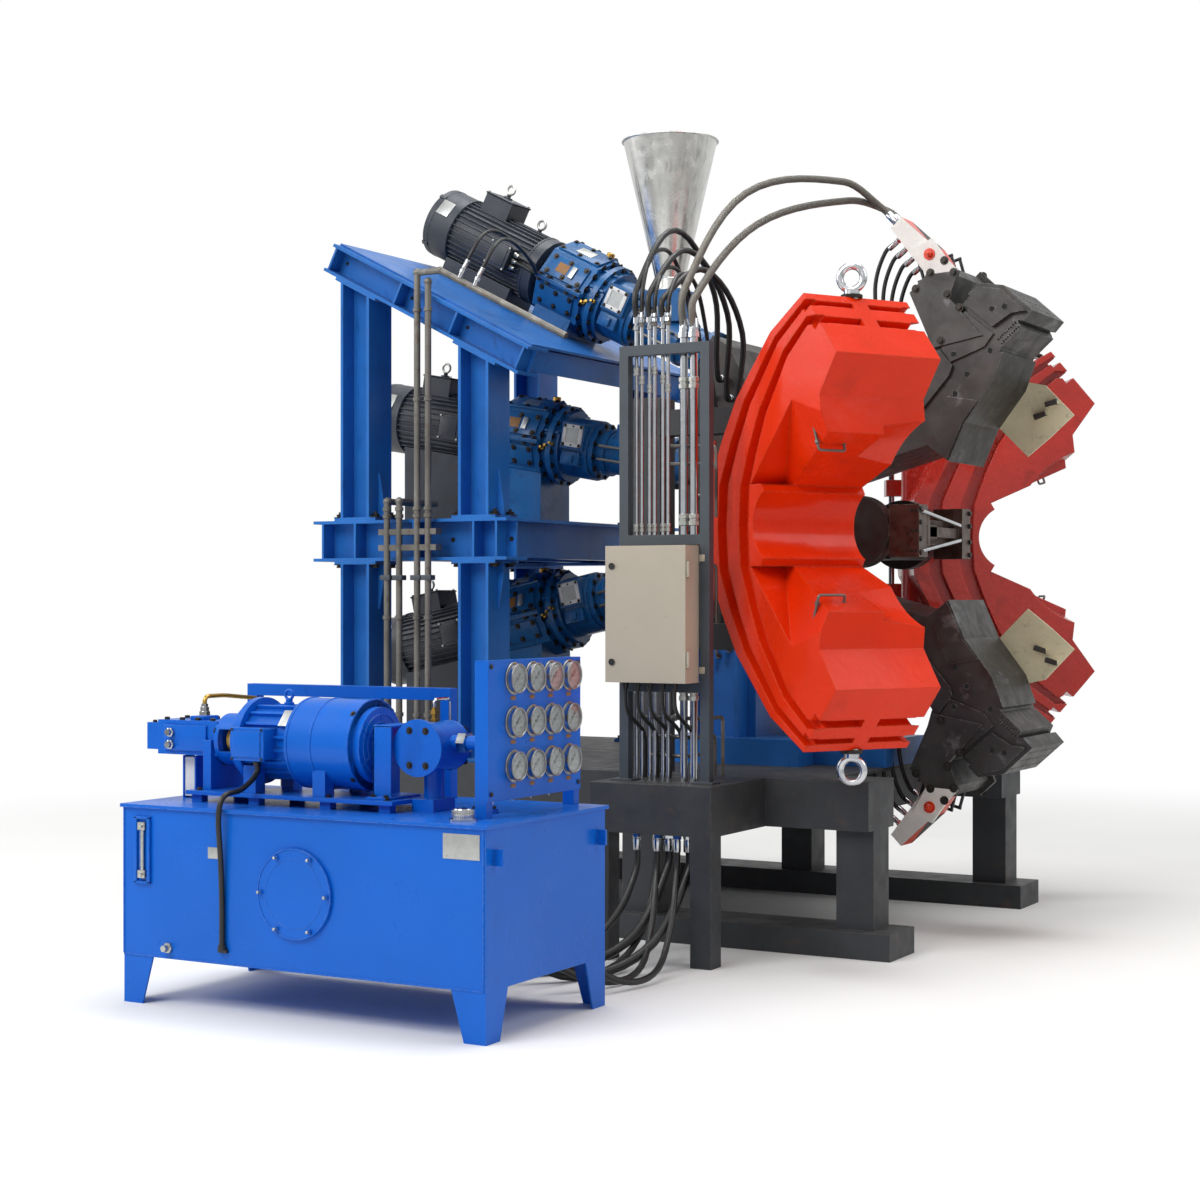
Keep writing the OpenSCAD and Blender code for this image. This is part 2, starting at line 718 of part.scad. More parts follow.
module jaw_plates() {
    both_sides() prism_y(jaw_half, jaw_half + 25) polygon([[1054, 593], [1262, 700], [1315, 611],
        [1232, 500], [1341, 277], [1092, 301]]);
    // bracket and hydraulic block of the ejector
    prism_y(-jaw_half - 25, -jaw_half) polygon([[1126, 789], [1231, 805], [1279, 665], [1160, 640]]);
    prism_y(-jaw_half, -jaw_half + 150)
        polygon([[1042, 930], [1106, 966], [1225, 770], [1255, 676], [1155, 640]]);
    // switch plate on the far cheek
    prism_y(jaw_half, jaw_half + 12) polygon([[1120, -40], [1250, 60], [1330, 100], [1420, 50],
        [1516, -134], [1377, -201], [1240, -258]]);
    for (p = [[1330, -100], [1400, -60]])
        block([p[0], p[0] + 60], [jaw_half - 30, jaw_half + EPS], [p[1], p[1] + 26]);
    // loop handles over the ejector
    for (y = [-180, -60, 60, 180]) {
        for (x = [1110, 1200]) let (foot = 580.2 + (x + loop_r - 1075) * 90 / 175)
            translate([x, y, foot]) cylinder(h = 780 - foot, r = loop_r);
        translate([0, y, 780]) rod_x(1110 - loop_r, 1200 + loop_r, loop_r);
    }
}

module jaw_upper() { color(STEEL) at_jaw() jaw(); }
module jaw_lower() { color(STEEL) translate([0, 0, 2 * head_z]) mirror([0, 0, 1]) at_jaw() jaw(); }
module jaw_plates_upper() { color("#6A6B6E") at_jaw() jaw_plates(); }
module jaw_plates_lower() {
    color("#6A6B6E") translate([0, 0, 2 * head_z]) mirror([0, 0, 1]) at_jaw() jaw_plates();
}

// A square tube along Z or X, open inside
module tube_z(x, y, z0, z1) {
    difference() {
        block([x, x + rack_tube], [y, y + rack_tube], [z0, z1]);
        block([x + rack_wall, x + rack_tube - rack_wall], [y + rack_wall, y + rack_tube - rack_wall],
            [z0 + rack_wall, z1 - rack_wall]);
    }
}

rack_beam_z = [cab_z - rack_tube, cab_z + cab_h + 5, rack_top - rack_tube];

module pipe_rack() {
    color(SLATE) {
        for (x = [rack_x0 - rack_tube / 2, rack_x1 - rack_tube / 2]) {
            tube_z(x, rack_y, base_top + 8, rack_top);
            block([x - 30, x + rack_tube + 30], [rack_y - 30, rack_y + rack_tube + 5],
                [base_top, base_top + 8]);
        }
        for (z = rack_beam_z)
            block([rack_x0 + rack_tube / 2 - EPS, rack_x1 - rack_tube / 2 + EPS],
                [rack_y, rack_y + rack_tube], [z, z + rack_tube]);
        for (z = rack_beam_z) block([rack_x0 + 40, rack_x1 - 30],
            [rack_y + rack_tube - EPS, rack_y + rack_tube + 6],
            [z + 8, z + rack_tube - 8]);
    }
}

rack_pipe_y = rack_y + rack_tube + 6;
rack_thin = [405, 432, 472, 498, 540, 566];
rack_thick = [640, 690];

module rack_pipes() {
    color("silver") {
        for (x = rack_thin) {
            translate([x, rack_pipe_y + 9, base_top]) cylinder(h = 2020, r = 8.7);
            translate([x, rack_pipe_y + 9 , base_top + 2018]) cylinder(h = 40, r = 8.9, $fn = 24);
        }
        for (x = rack_thick) translate([x, rack_pipe_y + 19, base_top]) cylinder(h = 1990, r = 18);
    }
}

riser_x = [-1266, -1191, -1081, -1015];
riser_top = [2100, 2100, 3250, 3200];
riser_r = 16.5;
riser_y = -tower_half - 50;

module riser_pipes() {
    color("#8A8D90") {
        for (i = [0:3]) {
            translate([riser_x[i], riser_y, base_top]) cylinder(h = riser_top[i] - base_top, r = riser_r);
            translate([riser_x[i], riser_y, riser_top[i]]) sphere(r = riser_r + 4, $fn = 32);
        }
        // the short pair turns in over the middle deck
        for (i = [0, 1]) translate([riser_x[i], riser_y, riser_top[i]]) rotate([-90, 0, 0])
            cylinder(h = 330, r = riser_r);
        // the tall pair joins and runs down the slope beside the top deck
        translate([riser_x[2], riser_y, riser_top[2]]) rod_x(0, 140, riser_r);
        translate([riser_x[2] + 140, riser_y, riser_top[2]]) {
            sphere(r = riser_r + 4, $fn = 32);
            rotate([0, top_pitch, 0]) rod_x(0, 820, riser_r);
        }
        // clamp bands on the middle deck
        for (z = [deck_z + 50, deck_z + 130])
            block([riser_x[0] - 50, riser_x[3] + 50], [riser_y - 6, -tower_half], [z, z + 30]);
    }
}

hinge_post = [cab_x + cab_w + 8, cab_face_y + door_t / 2];
hinge_pin_r = 4;
hinge_z = [cab_z + 80, cab_z + cab_h - 130];
knuckle_h = 50;
lock_x = cab_x + 34;
lock_z = [cab_z + 90, cab_z + cab_h - 90];
lock_r = 11;
cab_front_y = cab_face_y + door_t + run_gap;

module cabinet_box() {
    color("#B9B2A4") {
        difference() {
            block([cab_x, cab_x + cab_w], [cab_front_y, rack_y], [cab_z, cab_z + cab_h]);
            block([cab_x + cab_t, cab_x + cab_w - cab_t], [cab_front_y - EPS, rack_y - cab_t],
                [cab_z + cab_t, cab_z + cab_h - cab_t]);
        }
        for (z = hinge_z) {
            translate([hinge_post[0], hinge_post[1], z - 10])
                cylinder(h = knuckle_h + 20, r = hinge_pin_r - 0.05);
            for (z1 = [z - 10, z + knuckle_h + run_gap]) {
                block([hinge_post[0] - 5.5, hinge_post[0] + 6], [hinge_post[1] - 5, cab_front_y + 20],
                    [z1, z1 + 10 - run_gap]);
                block([cab_x + cab_w - EPS, hinge_post[0]], [cab_front_y + 4, cab_front_y + 20],
                    [z1, z1 + 10 - run_gap]);
            }
        }
        // keepers that the lock tongues turn behind
        for (z = lock_z)
            block([cab_x + cab_t - EPS, cab_x + 16], [cab_front_y, cab_front_y + 6], [z - 15, z + 15]);
        // mounting plate inside
        block([cab_x + 40, cab_x + cab_w - 40], [rack_y - cab_t - 10, rack_y - cab_t + EPS],
            [cab_z + 50, cab_z + cab_h - 50]);
    }
}

module cabinet_door() {
    color("#B9B2A4") difference() {
        union() {
            block([cab_x, cab_x + cab_w], [cab_face_y, cab_face_y + door_t], [cab_z, cab_z + cab_h]);
            for (z = hinge_z) {
                translate([hinge_post[0], hinge_post[1], z]) cylinder(h = knuckle_h, r = hinge_pin_r + 3);
                block([cab_x + cab_w - EPS, hinge_post[0]], [hinge_post[1] - 3, hinge_post[1] + 3],
                    [z, z + knuckle_h]);
            }
        }
        for (z = hinge_z) translate([hinge_post[0], hinge_post[1], z - EPS])
            cylinder(h = knuckle_h + 2 * EPS, r = hinge_pin_r);
        for (z = lock_z) rod_y(lock_x, z, cab_face_y - EPS, cab_face_y + door_t + EPS, lock_r);
    }
}

// Quarter-turn lock; its tongue stands upright when it is free
module lock(z) {
    color("#2B2B2B") {
        rod_y(lock_x, z, cab_face_y - EPS, cab_face_y + door_t + 17, lock_r - 0.05);
        rod_y(lock_x, z, cab_face_y - 6, cab_face_y - run_gap, lock_r + 4);
        block([lock_x - 7, lock_x + 7], [cab_face_y + door_t + 13, cab_face_y + door_t + 17], [z, z + 24]);
    }
}

module lock_lower() { lock(lock_z[0]); }
module lock_upper() { lock(lock_z[1]); }

module tank() {
    body_z = tank_leg;
    color(TANK_BLUE) difference() {
        union() {
            block([tank_x0, tank_x1], [tank_y, tank_y1], [body_z, tank_top - lid_t + EPS]);
            block([tank_x0 - 12, tank_x1 + 12], [tank_y - 12, tank_y1 + 12], [tank_top - lid_t, tank_top]);
            // splayed sheet legs at the corners
            for (sx = [0, 1], sy = [0, 1])
                translate([sx * (tank_x0 + tank_x1), sy * (tank_y + tank_y1), 0])
                    mirror([sx, 0, 0]) mirror([0, sy, 0]) translate([tank_x0, tank_y, 0]) {
                        prism_y(0, tank_t) polygon([[0, 0], [95, 0], [150, body_z + EPS], [0, body_z + EPS]]);
                        rotate([0, 0, 90]) mirror([0, 1, 0]) prism_y(0, tank_t)
                            polygon([[0, 0], [95, 0], [150, body_z + EPS], [0, body_z + EPS]]);
                    }
            // lifting hooks on the end wall
            for (y = [tank_y + 60, tank_y1 - 60])
                block([tank_x1 - EPS, tank_x1 + 40], [y - 6, y + 6], [640, 700]);
        }
        block([tank_x0 + tank_t, tank_x1 - tank_t], [tank_y + tank_t, tank_y1 - tank_t],
            [body_z + tank_t, tank_top - lid_t]);
        rod_y(manhole_x, manhole_z, tank_y - EPS, tank_y + tank_t + EPS, manhole_r - 40);
        translate([filler_x, filler_y, tank_top - lid_t - EPS]) cylinder(h = lid_t + 2 * EPS, r = 30);
    }
}

manhole_x = tank_x;
manhole_z = tank_leg + 296;
filler_x = tank_x1 - 170;
filler_y = tank_y + 110;

module manhole_cover() {
    color(TANK_BLUE) {
        rod_y(manhole_x, manhole_z, tank_y - 12, tank_y, manhole_r);
        for (a = [0:60:300])
            translate([manhole_x + (manhole_r - 18) * cos(a), 0, manhole_z + (manhole_r - 18) * sin(a)])
            prism_y(tank_y - 22, tank_y - 11) circle(r = 10, $fn = 6);
    }
}

module level_gauge() {
    color("silver") {
        for (z = [500, 690]) block([tank_x0 + 85, tank_x0 + 121], [tank_y - 18, tank_y], [z, z + 30]);
        rod_y(tank_x0 + 103, 515, tank_y - 28, tank_y - 17, 9);
        rod_y(tank_x0 + 103, 705, tank_y - 28, tank_y - 17, 9);
        translate([tank_x0 + 103, tank_y - 9, 529]) cylinder(h = 162, r = 7);
    }
}

module filler_cap() {
    color("silver") translate([filler_x, filler_y, tank_top]) {
        translate([0, 0, -lid_t]) cylinder(h = lid_t + run_gap + EPS, r = 30 - 0.05);
        translate([0, 0, run_gap]) cylinder(h = 8, r = 52);
        translate([0, 0, 8]) cylinder(h = 34, r = 40);
    }
}

rail_z = tank_top + 46;
shaft_r = 18;

module pump_rail() {
    color(TANK_BLUE) {
        block([-680, 330], [pump_y - 170, pump_y + 170], [tank_top + 30, rail_z]);
        for (x = [-640, -350, 0, 280], y = [pump_y - 150, pump_y + 110])
            block([x - 25, x + 25], [y, y + 40], [tank_top, tank_top + 31]);
        // square tube frame behind the motor
        block([-860, 190], [tank_y1 - 90, tank_y1 - 40], [tank_top + 400, tank_top + 450]);
        for (x = [-860, 140]) block([x, x + 50], [tank_y1 - 90, tank_y1 - 40], [tank_top, tank_top + 401]);
    }
}

module pump_motor() {
    color(TANK_BLUE) translate([0, pump_y, pump_z]) {
        rod_x(-440, -410, cowl_r - 4);
        rod_x(-411, -150, pm_r - 12);
        for (a = [20:20:340]) rotate([a, 0, 0]) block([-405, -182], [-5, 5], [pm_r - 20, pm_r + 4]);
        rod_x(-180, 130, cowl_r);
        rod_x(129, 160, cowl_r - 30);
        block([-400, -250], [-pm_r - 60, -pm_r + 40], [-60, 60]);
        translate([-290, 0, pm_r - 20]) cylinder(h = 40, r = 14);
        translate([-290, 0, pm_r + 36]) rotate([90, 0, 0]) rotate_extrude() translate([18, 0])
            circle(r = 6, $fn = 16);
        for (x = [-400, -60], y = [-150, 90]) block([x, x + 60], [y, y + 60], [rail_z - pump_z, -90]);
        rod_x(-525, -439, shaft_r);
    }
}

module pump() {
    color(TANK_BLUE) translate([0, pump_y, pump_z]) difference() {
        union() {
            // bell housing
            rod_x(-590, -440.3, 105);
            rod_x(-470, -440.3, 150);
            // pump block and its support foot
            block([-900, -589], [-85, 85], [-65, 75]);
            block([-980, -899], [-60, 60], [-50, 60]);
            block([-640, -600], [-110, 110], [rail_z - pump_z, 0]);
        }
        rod_x(-580, -439, 75);
        // windows that show the coupling
        block([-570, -490], [-200, 200], [-45, 45]);
    }
    color("silver") translate([0, pump_y, pump_z]) rod_x(-591, -540, shaft_r);
}

module pump_coupling() {
    color("#D8A020") translate([0, pump_y, pump_z]) difference() {
        union() {
            rod_x(-566, -500, 55);
            rod_x(-545, -521, 64);
        }
        rod_x(-567, -499, shaft_r + 0.05);
    }
}

module return_filter() {
    color(TANK_BLUE) {
        rod_y(380, pump_z, pump_y - 60, pump_y + 150, 95);
        rod_y(380, pump_z, pump_y - 75, pump_y - 59, 110);
        translate([380, pump_y + 40, rail_z]) cylinder(h = pump_z - rail_z, r = 40);
        block([331, 430], [pump_y - 40, pump_y + 110], [tank_top, rail_z + EPS]);
        // elbow down to the lid
        translate([0, pump_y + 40, pump_z + 20]) rod_x(470, 610, 28);
        translate([610, pump_y + 40, pump_z + 20]) sphere(r = 34);
        translate([610, pump_y + 40, tank_top]) cylinder(h = pump_z + 20 - tank_top, r = 28);
        translate([610, pump_y + 40, tank_top]) cylinder(h = 18, r = 55);
    }
}

module gauge_panel() {
    color(TANK_BLUE) difference() {
        union() {
            block([panel_x, panel_x + 8], [panel_y, panel_y + panel_w], [tank_top + 60, tank_top + panel_h]);
            for (y = [panel_y, panel_y + panel_w - 40])
                block([panel_x - 50, panel_x + EPS], [y, y + 40], [tank_top, tank_top + panel_h]);
            block([panel_x - 40, panel_x + EPS], [panel_y, panel_y + panel_w],
                [tank_top + panel_h - 30, tank_top + panel_h]);
        }
        for (i = [0:11]) translate([panel_x - EPS, gauge_yz(i)[0], gauge_yz(i)[1]])
            rod_x(0, 10 + EPS, 22);
    }
}

// Routes of the hoses and cables, point by point
hose_routes = [
    [[405, -1420, 2848.3], [405, -1420, 3000], [425, -1080, 3320], [410, -640, 3080],
        [330, -440, 2700], [330, -340.3, 2700]],
    [[472, -1420, 2848.3], [472, -1420, 2980], [495, -1080, 3220], [480, -640, 2980],
        [380, -440, 2600], [380, -340.3, 2600]],
    [[540, -1420, 2848.3], [540, -1420, 2950], [585, -1080, 3120], [560, -640, 2880],
        [430, -440, 2500], [430, -340.3, 2500]]];
floor_routes = [
    [[640, -1560, 569.5], [640, -1560, 430], [560, -1800, 120], [300, -2120, 30],
        [60, -2400, 240], [60, -2519.7, 240]],
    [[740, -1560, 569.5], [740, -1560, 410], [680, -1860, 100], [460, -2180, 30],
        [260, -2400, 260], [260, -2519.7, 260]]];
conduit_routes = [
    [[640, -1410, 2780.3], [640, -1410, 2980], [760, -1020, 3470], [1000, -440, 3600],
        [1113, -215, 3495], [1190.8, -215, 3417.2]],
    [[690, -1410, 2780.3], [690, -1410, 2940], [800, -980, 3330], [1000, -380, 3520],
        [1113, -135, 3495], [1190.8, -135, 3417.2]]];
cable_route = [[-325, -3210, 974.7], [-325, -3210, 920], [-330, -3300, 860], [-335, -3400, 840],
    [-340, -3424, 770], [-340, -3412, 600], [-340, -3404, 430], [-340, -3404, 250]];

// Points halfway along a smooth curve through the route
function between(p, i) = let (a = p[max(i - 1, 0)], b = p[i], c = p[i + 1], d = p[min(i + 2, len(p) - 1)])
    (9 * b + 9 * c - a - d) / 16;
function half_way(p, i) = i == 0 || i == len(p) - 2 ? (p[i] + p[i + 1]) / 2 : between(p, i);
function smooth(p) = [for (i = [0:2 * (len(p) - 1)]) i % 2 == 0 ? p[i / 2] : half_way(p, (i - 1) / 2)];
function unit(v) = v / norm(v);
function side(t) = unit(cross(t, abs(t[0]) > 0.9 ? [0, 0, 1] : [1, 0, 0]));

module hose(route, r, fine = true, sides = 8) {
    p = fine ? smooth(route) : route;
    n = len(p);
    t = [for (i = [0:n - 1]) unit(p[min(i + 1, n - 1)] - p[max(i - 1, 0)])];
    ring = [for (i = [0:n - 1], k = [0:sides - 1])
        let (u = side(t[i]), v = cross(t[i], u), a = 360 * k / sides)
        p[i] + r * (cos(a) * u + sin(a) * v)];
    polyhedron(points = ring, faces = concat(
        [[for (k = [sides - 1:-1:0]) k]], [[for (k = [0:sides - 1]) (n - 1) * sides + k]],
        [for (i = [0:n - 2], k = [0:sides - 1]) [i * sides + k, i * sides + (k + 1) % sides,
            (i + 1) * sides + (k + 1) % sides, (i + 1) * sides + k]]), convexity = 6);
}

module hose_arches() {
    color("#1A1A1A") {
        for (route = hose_routes) hose(route, 14);
        for (route = floor_routes) hose(route, 20);
    }
}

module braided_conduits() { color("#8A8D90") for (route = conduit_routes) hose(route, 17); }
module motor_cable() { color("#1A1A1A") hose(cable_route, 11, false); }

function gauge_yz(i) = [gauge_y0 + (i % 4) * gauge_dy, gauge_z0 - floor(i / 4) * gauge_dz];
gauge_face = panel_x + 8;
dial_x = gauge_face + 16;
spindle_r = 3;

module gauge_cases() {
    color("silver") for (i = [0:11]) translate([0, gauge_yz(i)[0], gauge_yz(i)[1]]) difference() {
        union() {
            rod_x(gauge_face, gauge_face + 6, gauge_r);
            rod_x(gauge_face + 5, gauge_face + 30, dial_r + 4);
            rod_x(gauge_face - 30, gauge_face + EPS, 20);
        }
        rod_x(dial_x, gauge_face + 31, dial_r);
        rod_x(dial_x - 10, dial_x + EPS, spindle_r + 0.05);
    }
}

// A balanced pointer that starts at the lower end of its dial
module needle(i) {
    color("black") translate([0, gauge_yz(i)[0], gauge_yz(i)[1]]) rotate([135, 0, 0]) {
        rod_x(dial_x - 9, dial_x + 5, spindle_r);
        rod_x(dial_x + 1, dial_x + 5, 6);
        block([dial_x + 2, dial_x + 3.6], [-1.6, 1.6], [-22, 38]);
        block([dial_x + 2, dial_x + 3.6], [-5, 5], [-26, -14]);
    }
}

base_frame();
columns();
deck_mid();
deck_top();
motor_top();
motor_mid();
motor_low();
gearbox_top();
gearbox_mid();
gearbox_low();
barrel_top();
barrel_mid();
barrel_low();
screw_top();
screw_mid();
screw_low();
feed_hopper();
head_stand();
head_body();
die_cassette();
clamp_posts();
jaw_upper();
jaw_lower();
jaw_plates_upper();
jaw_plates_lower();
clamp_near();
clamp_far();
pipe_rack();
rack_pipes();
riser_pipes();
cabinet_box();
cabinet_door();
lock_upper();
lock_lower();
tank();
manhole_cover();
level_gauge();
filler_cap();
pump_rail();
pump_motor();
pump();
pump_coupling();
return_filter();
gauge_panel();
gauge_cases();
hose_arches();
braided_conduits();
motor_cable();
needle(0);  // needle_1
needle(1);  // needle_2
needle(2);  // needle_3
needle(3);  // needle_4
needle(4);  // needle_5
needle(5);  // needle_6
needle(6);  // needle_7
needle(7);  // needle_8
needle(8);  // needle_9
needle(9);  // needle_10
needle(10);  // needle_11
needle(11);  // needle_12
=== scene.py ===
import json
import math
from itertools import product

import bmesh
import bpy
from mathutils import Matrix, Vector


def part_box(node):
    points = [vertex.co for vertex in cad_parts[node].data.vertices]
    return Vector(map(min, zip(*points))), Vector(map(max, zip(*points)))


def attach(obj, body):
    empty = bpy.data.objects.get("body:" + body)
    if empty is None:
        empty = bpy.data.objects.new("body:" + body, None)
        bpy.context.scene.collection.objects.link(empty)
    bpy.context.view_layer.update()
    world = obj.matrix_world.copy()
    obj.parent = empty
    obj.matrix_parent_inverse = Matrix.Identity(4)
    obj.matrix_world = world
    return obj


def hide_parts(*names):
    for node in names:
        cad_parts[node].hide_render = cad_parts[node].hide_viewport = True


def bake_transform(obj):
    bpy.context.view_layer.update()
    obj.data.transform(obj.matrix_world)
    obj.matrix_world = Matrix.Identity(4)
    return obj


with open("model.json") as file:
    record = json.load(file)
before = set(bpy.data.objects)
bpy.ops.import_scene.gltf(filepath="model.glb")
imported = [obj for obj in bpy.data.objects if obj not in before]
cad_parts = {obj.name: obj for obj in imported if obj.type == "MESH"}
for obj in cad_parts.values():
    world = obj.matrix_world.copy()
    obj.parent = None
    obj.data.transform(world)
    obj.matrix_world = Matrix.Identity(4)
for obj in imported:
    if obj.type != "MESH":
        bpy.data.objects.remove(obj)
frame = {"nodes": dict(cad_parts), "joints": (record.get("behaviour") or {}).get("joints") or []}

# the objects of a new file aren't part of the machine
for start_up in ("Cube", "Light", "Camera"):
    if start_up in bpy.data.objects:
        bpy.data.objects.remove(bpy.data.objects[start_up])
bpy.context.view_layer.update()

bl_info = {
    "name": "Cold-feed extruder dresser",
    "version": (1, 0, 0),
    "blender": (4, 5, 0),
    "location": "View3D > Sidebar > Extruder",
    "description": "Dresses the solids of a three-extruder rubber line with its finishes, fittings and hoses",
    "category": "Add Mesh",
}

MM = 0.001
JOINTS = {joint["name"]: joint for joint in frame["joints"]}
NODES = frame["nodes"]
# directions in the machine's frame or in a local place: the head is ahead, the power unit near
AHEAD, BEHIND = (1, 0, 0), (-1, 0, 0)
FAR, NEAR = (0, 1, 0), (0, -1, 0)
UP, DOWN = (0, 0, 1), (0, 0, -1)
# millimetres: the columns' rows along X, and the planes of the risers, the rack's tubes and the conduits
COLUMNS = (-1505, -778)
RISER_Y, RACK_Y, CONDUIT_Y = -1000, -1420, -1410


# ---------------------------------------------------------------- colours and nodes
def linear(hexa):
    """An sRGB hex value as a linear colour."""
    parts = [int(hexa[i:i + 2], 16) / 255 for i in (1, 3, 5)]
    return tuple(c / 12.92 if c <= 0.04045 else ((c + 0.055) / 1.055) ** 2.4 for c in parts) + (1.0,)


def add(tree, kind, sockets=None, out=0, **settings):
    """Adds a node and gives one of its outputs. A socket given as another node's output is linked."""
    node = tree.nodes.new(kind)
    for key, value in settings.items():
        setattr(node, key, value)
    for key, value in (sockets or {}).items():
        if isinstance(value, bpy.types.NodeSocket):
            tree.links.new(value, node.inputs[key])
        else:
            node.inputs[key].default_value = value
    return node.outputs[out]


class Finish:
    """A material under construction: its tree, coordinates, colour, roughness and bump so far."""

    def __init__(self, name, colour, metallic=0.0, roughness=0.5):
        self.material = bpy.data.materials.new(name)
        self.material.use_nodes = True
        self.tree = self.material.node_tree
        self.shader = self.tree.nodes["Principled BSDF"]
        self.shader.inputs["Metallic"].default_value = metallic
        self.where = add(self.tree, "ShaderNodeTexCoord", out="Object")
        self.colour = linear(colour) if isinstance(colour, str) else (*colour, 1.0)
        self.rough = roughness
        self.normal = None
        self.material.diffuse_color = self.colour

    def patches(self, size_mm, low=0.3, high=0.7, to=(0.0, 1.0), stretch=(1, 1, 1), detail=3.0):
        """A value that wanders between two bounds over patches of size_mm."""
        where = add(self.tree, "ShaderNodeMapping", {"Vector": self.where, "Scale": stretch})
        lumps = add(self.tree, "ShaderNodeTexNoise", {"Vector": where, "Scale": 1000 / size_mm,
                                                      "Detail": detail, "Roughness": 0.58})
        return add(self.tree, "ShaderNodeMapRange", {"Value": lumps, "From Min": low, "From Max": high,
                                                     "To Min": to[0], "To Max": to[1]})

    def blend_in(self, share, colour, how="MIX"):
        """Puts a second colour over the first by that share."""
        # a colour mix takes the share at 0 and its colours at 6 and 7, and gives a colour at 2
        self.colour = add(self.tree, "ShaderNodeMix", {0: share, 6: self.colour, 7: colour}, out=2,
                          data_type="RGBA", blend_type=how)
        return self

    def drift(self, size_mm, amount, stretch=(1, 1, 1)):
        """The colour wanders lighter and darker over patches of size_mm."""
        factor = self.patches(size_mm, to=(1 - amount, 1 + amount), stretch=stretch)
        return self.blend_in(1.0, factor, "MULTIPLY")

    def stain(self, hexa, size_mm, share, strength, stretch=(1, 1, 1)):
        """Stains of another colour that cover about that share of the surface."""
        edge, soft = 0.5 + (0.5 - share) * 0.45, 0.06
        return self.blend_in(self.patches(size_mm, edge - soft, edge + soft, (0.0, strength), stretch, 5.0),
                             linear(hexa))

    def dust(self, hexa, strength):
        """Dust that settles on faces that look up."""
        facing = add(self.tree, "ShaderNodeNewGeometry", out="Normal")
        up = add(self.tree, "ShaderNodeSeparateXYZ", {0: facing}, out=2)
        level = add(self.tree, "ShaderNodeMapRange", {"Value": up, "From Min": 0.5, "To Max": strength})
        return self.blend_in(add(self.tree, "ShaderNodeMath", {0: level, 1: self.patches(60)},
                                 operation="MULTIPLY"), linear(hexa))

    def gloss(self, size_mm, spread):
        """Roughness wanders by that spread over patches of size_mm."""
        self.rough = self.patches(size_mm, to=(self.rough - spread, self.rough + spread))
        return self

    def grain(self, size_mm, depth_mm, detail=2.0, stretch=(1, 1, 1)):
        """A bump of lumps of size_mm, depth_mm deep."""
        sockets = {"Height": self.patches(size_mm, 0.2, 0.8, stretch=stretch, detail=detail),
                   "Strength": 1.0, "Distance": depth_mm * MM}
        if self.normal is not None:
            sockets["Normal"] = self.normal
        self.normal = add(self.tree, "ShaderNodeBump", sockets)
        return self

    def edges(self, radius_mm, hexa, strength):
        """Edges rounded to radius_mm and worn to another colour."""
        self.normal = add(self.tree, "ShaderNodeBevel", {"Radius": radius_mm * MM}, samples=4)
        flat = add(self.tree, "ShaderNodeNewGeometry", out="Normal")
        turn = add(self.tree, "ShaderNodeVectorMath", {0: self.normal, 1: flat}, out="Value",
                   operation="DOT_PRODUCT")
        worn = add(self.tree, "ShaderNodeMapRange", {"Value": turn, "From Min": 0.985, "From Max": 0.93,
                                                     "To Max": strength})
        return self.blend_in(add(self.tree, "ShaderNodeMath", {0: worn, 1: self.patches(14, 0.42, 0.58)},
                                 operation="MULTIPLY"), linear(hexa))

    def done(self, **sockets):
        """Joins what was built to the shader and gives the material."""
        put = {"Base Color": self.colour, "Roughness": self.rough}
        put.update({key.replace("_", " "): value for key, value in sockets.items()})
        if self.normal is not None:
            put["Normal"] = self.normal
        for key, value in put.items():
            if isinstance(value, bpy.types.NodeSocket):
                self.tree.links.new(value, self.shader.inputs[key])
            else:
                self.shader.inputs[key].default_value = value
        return self.material


FINISHES = {}


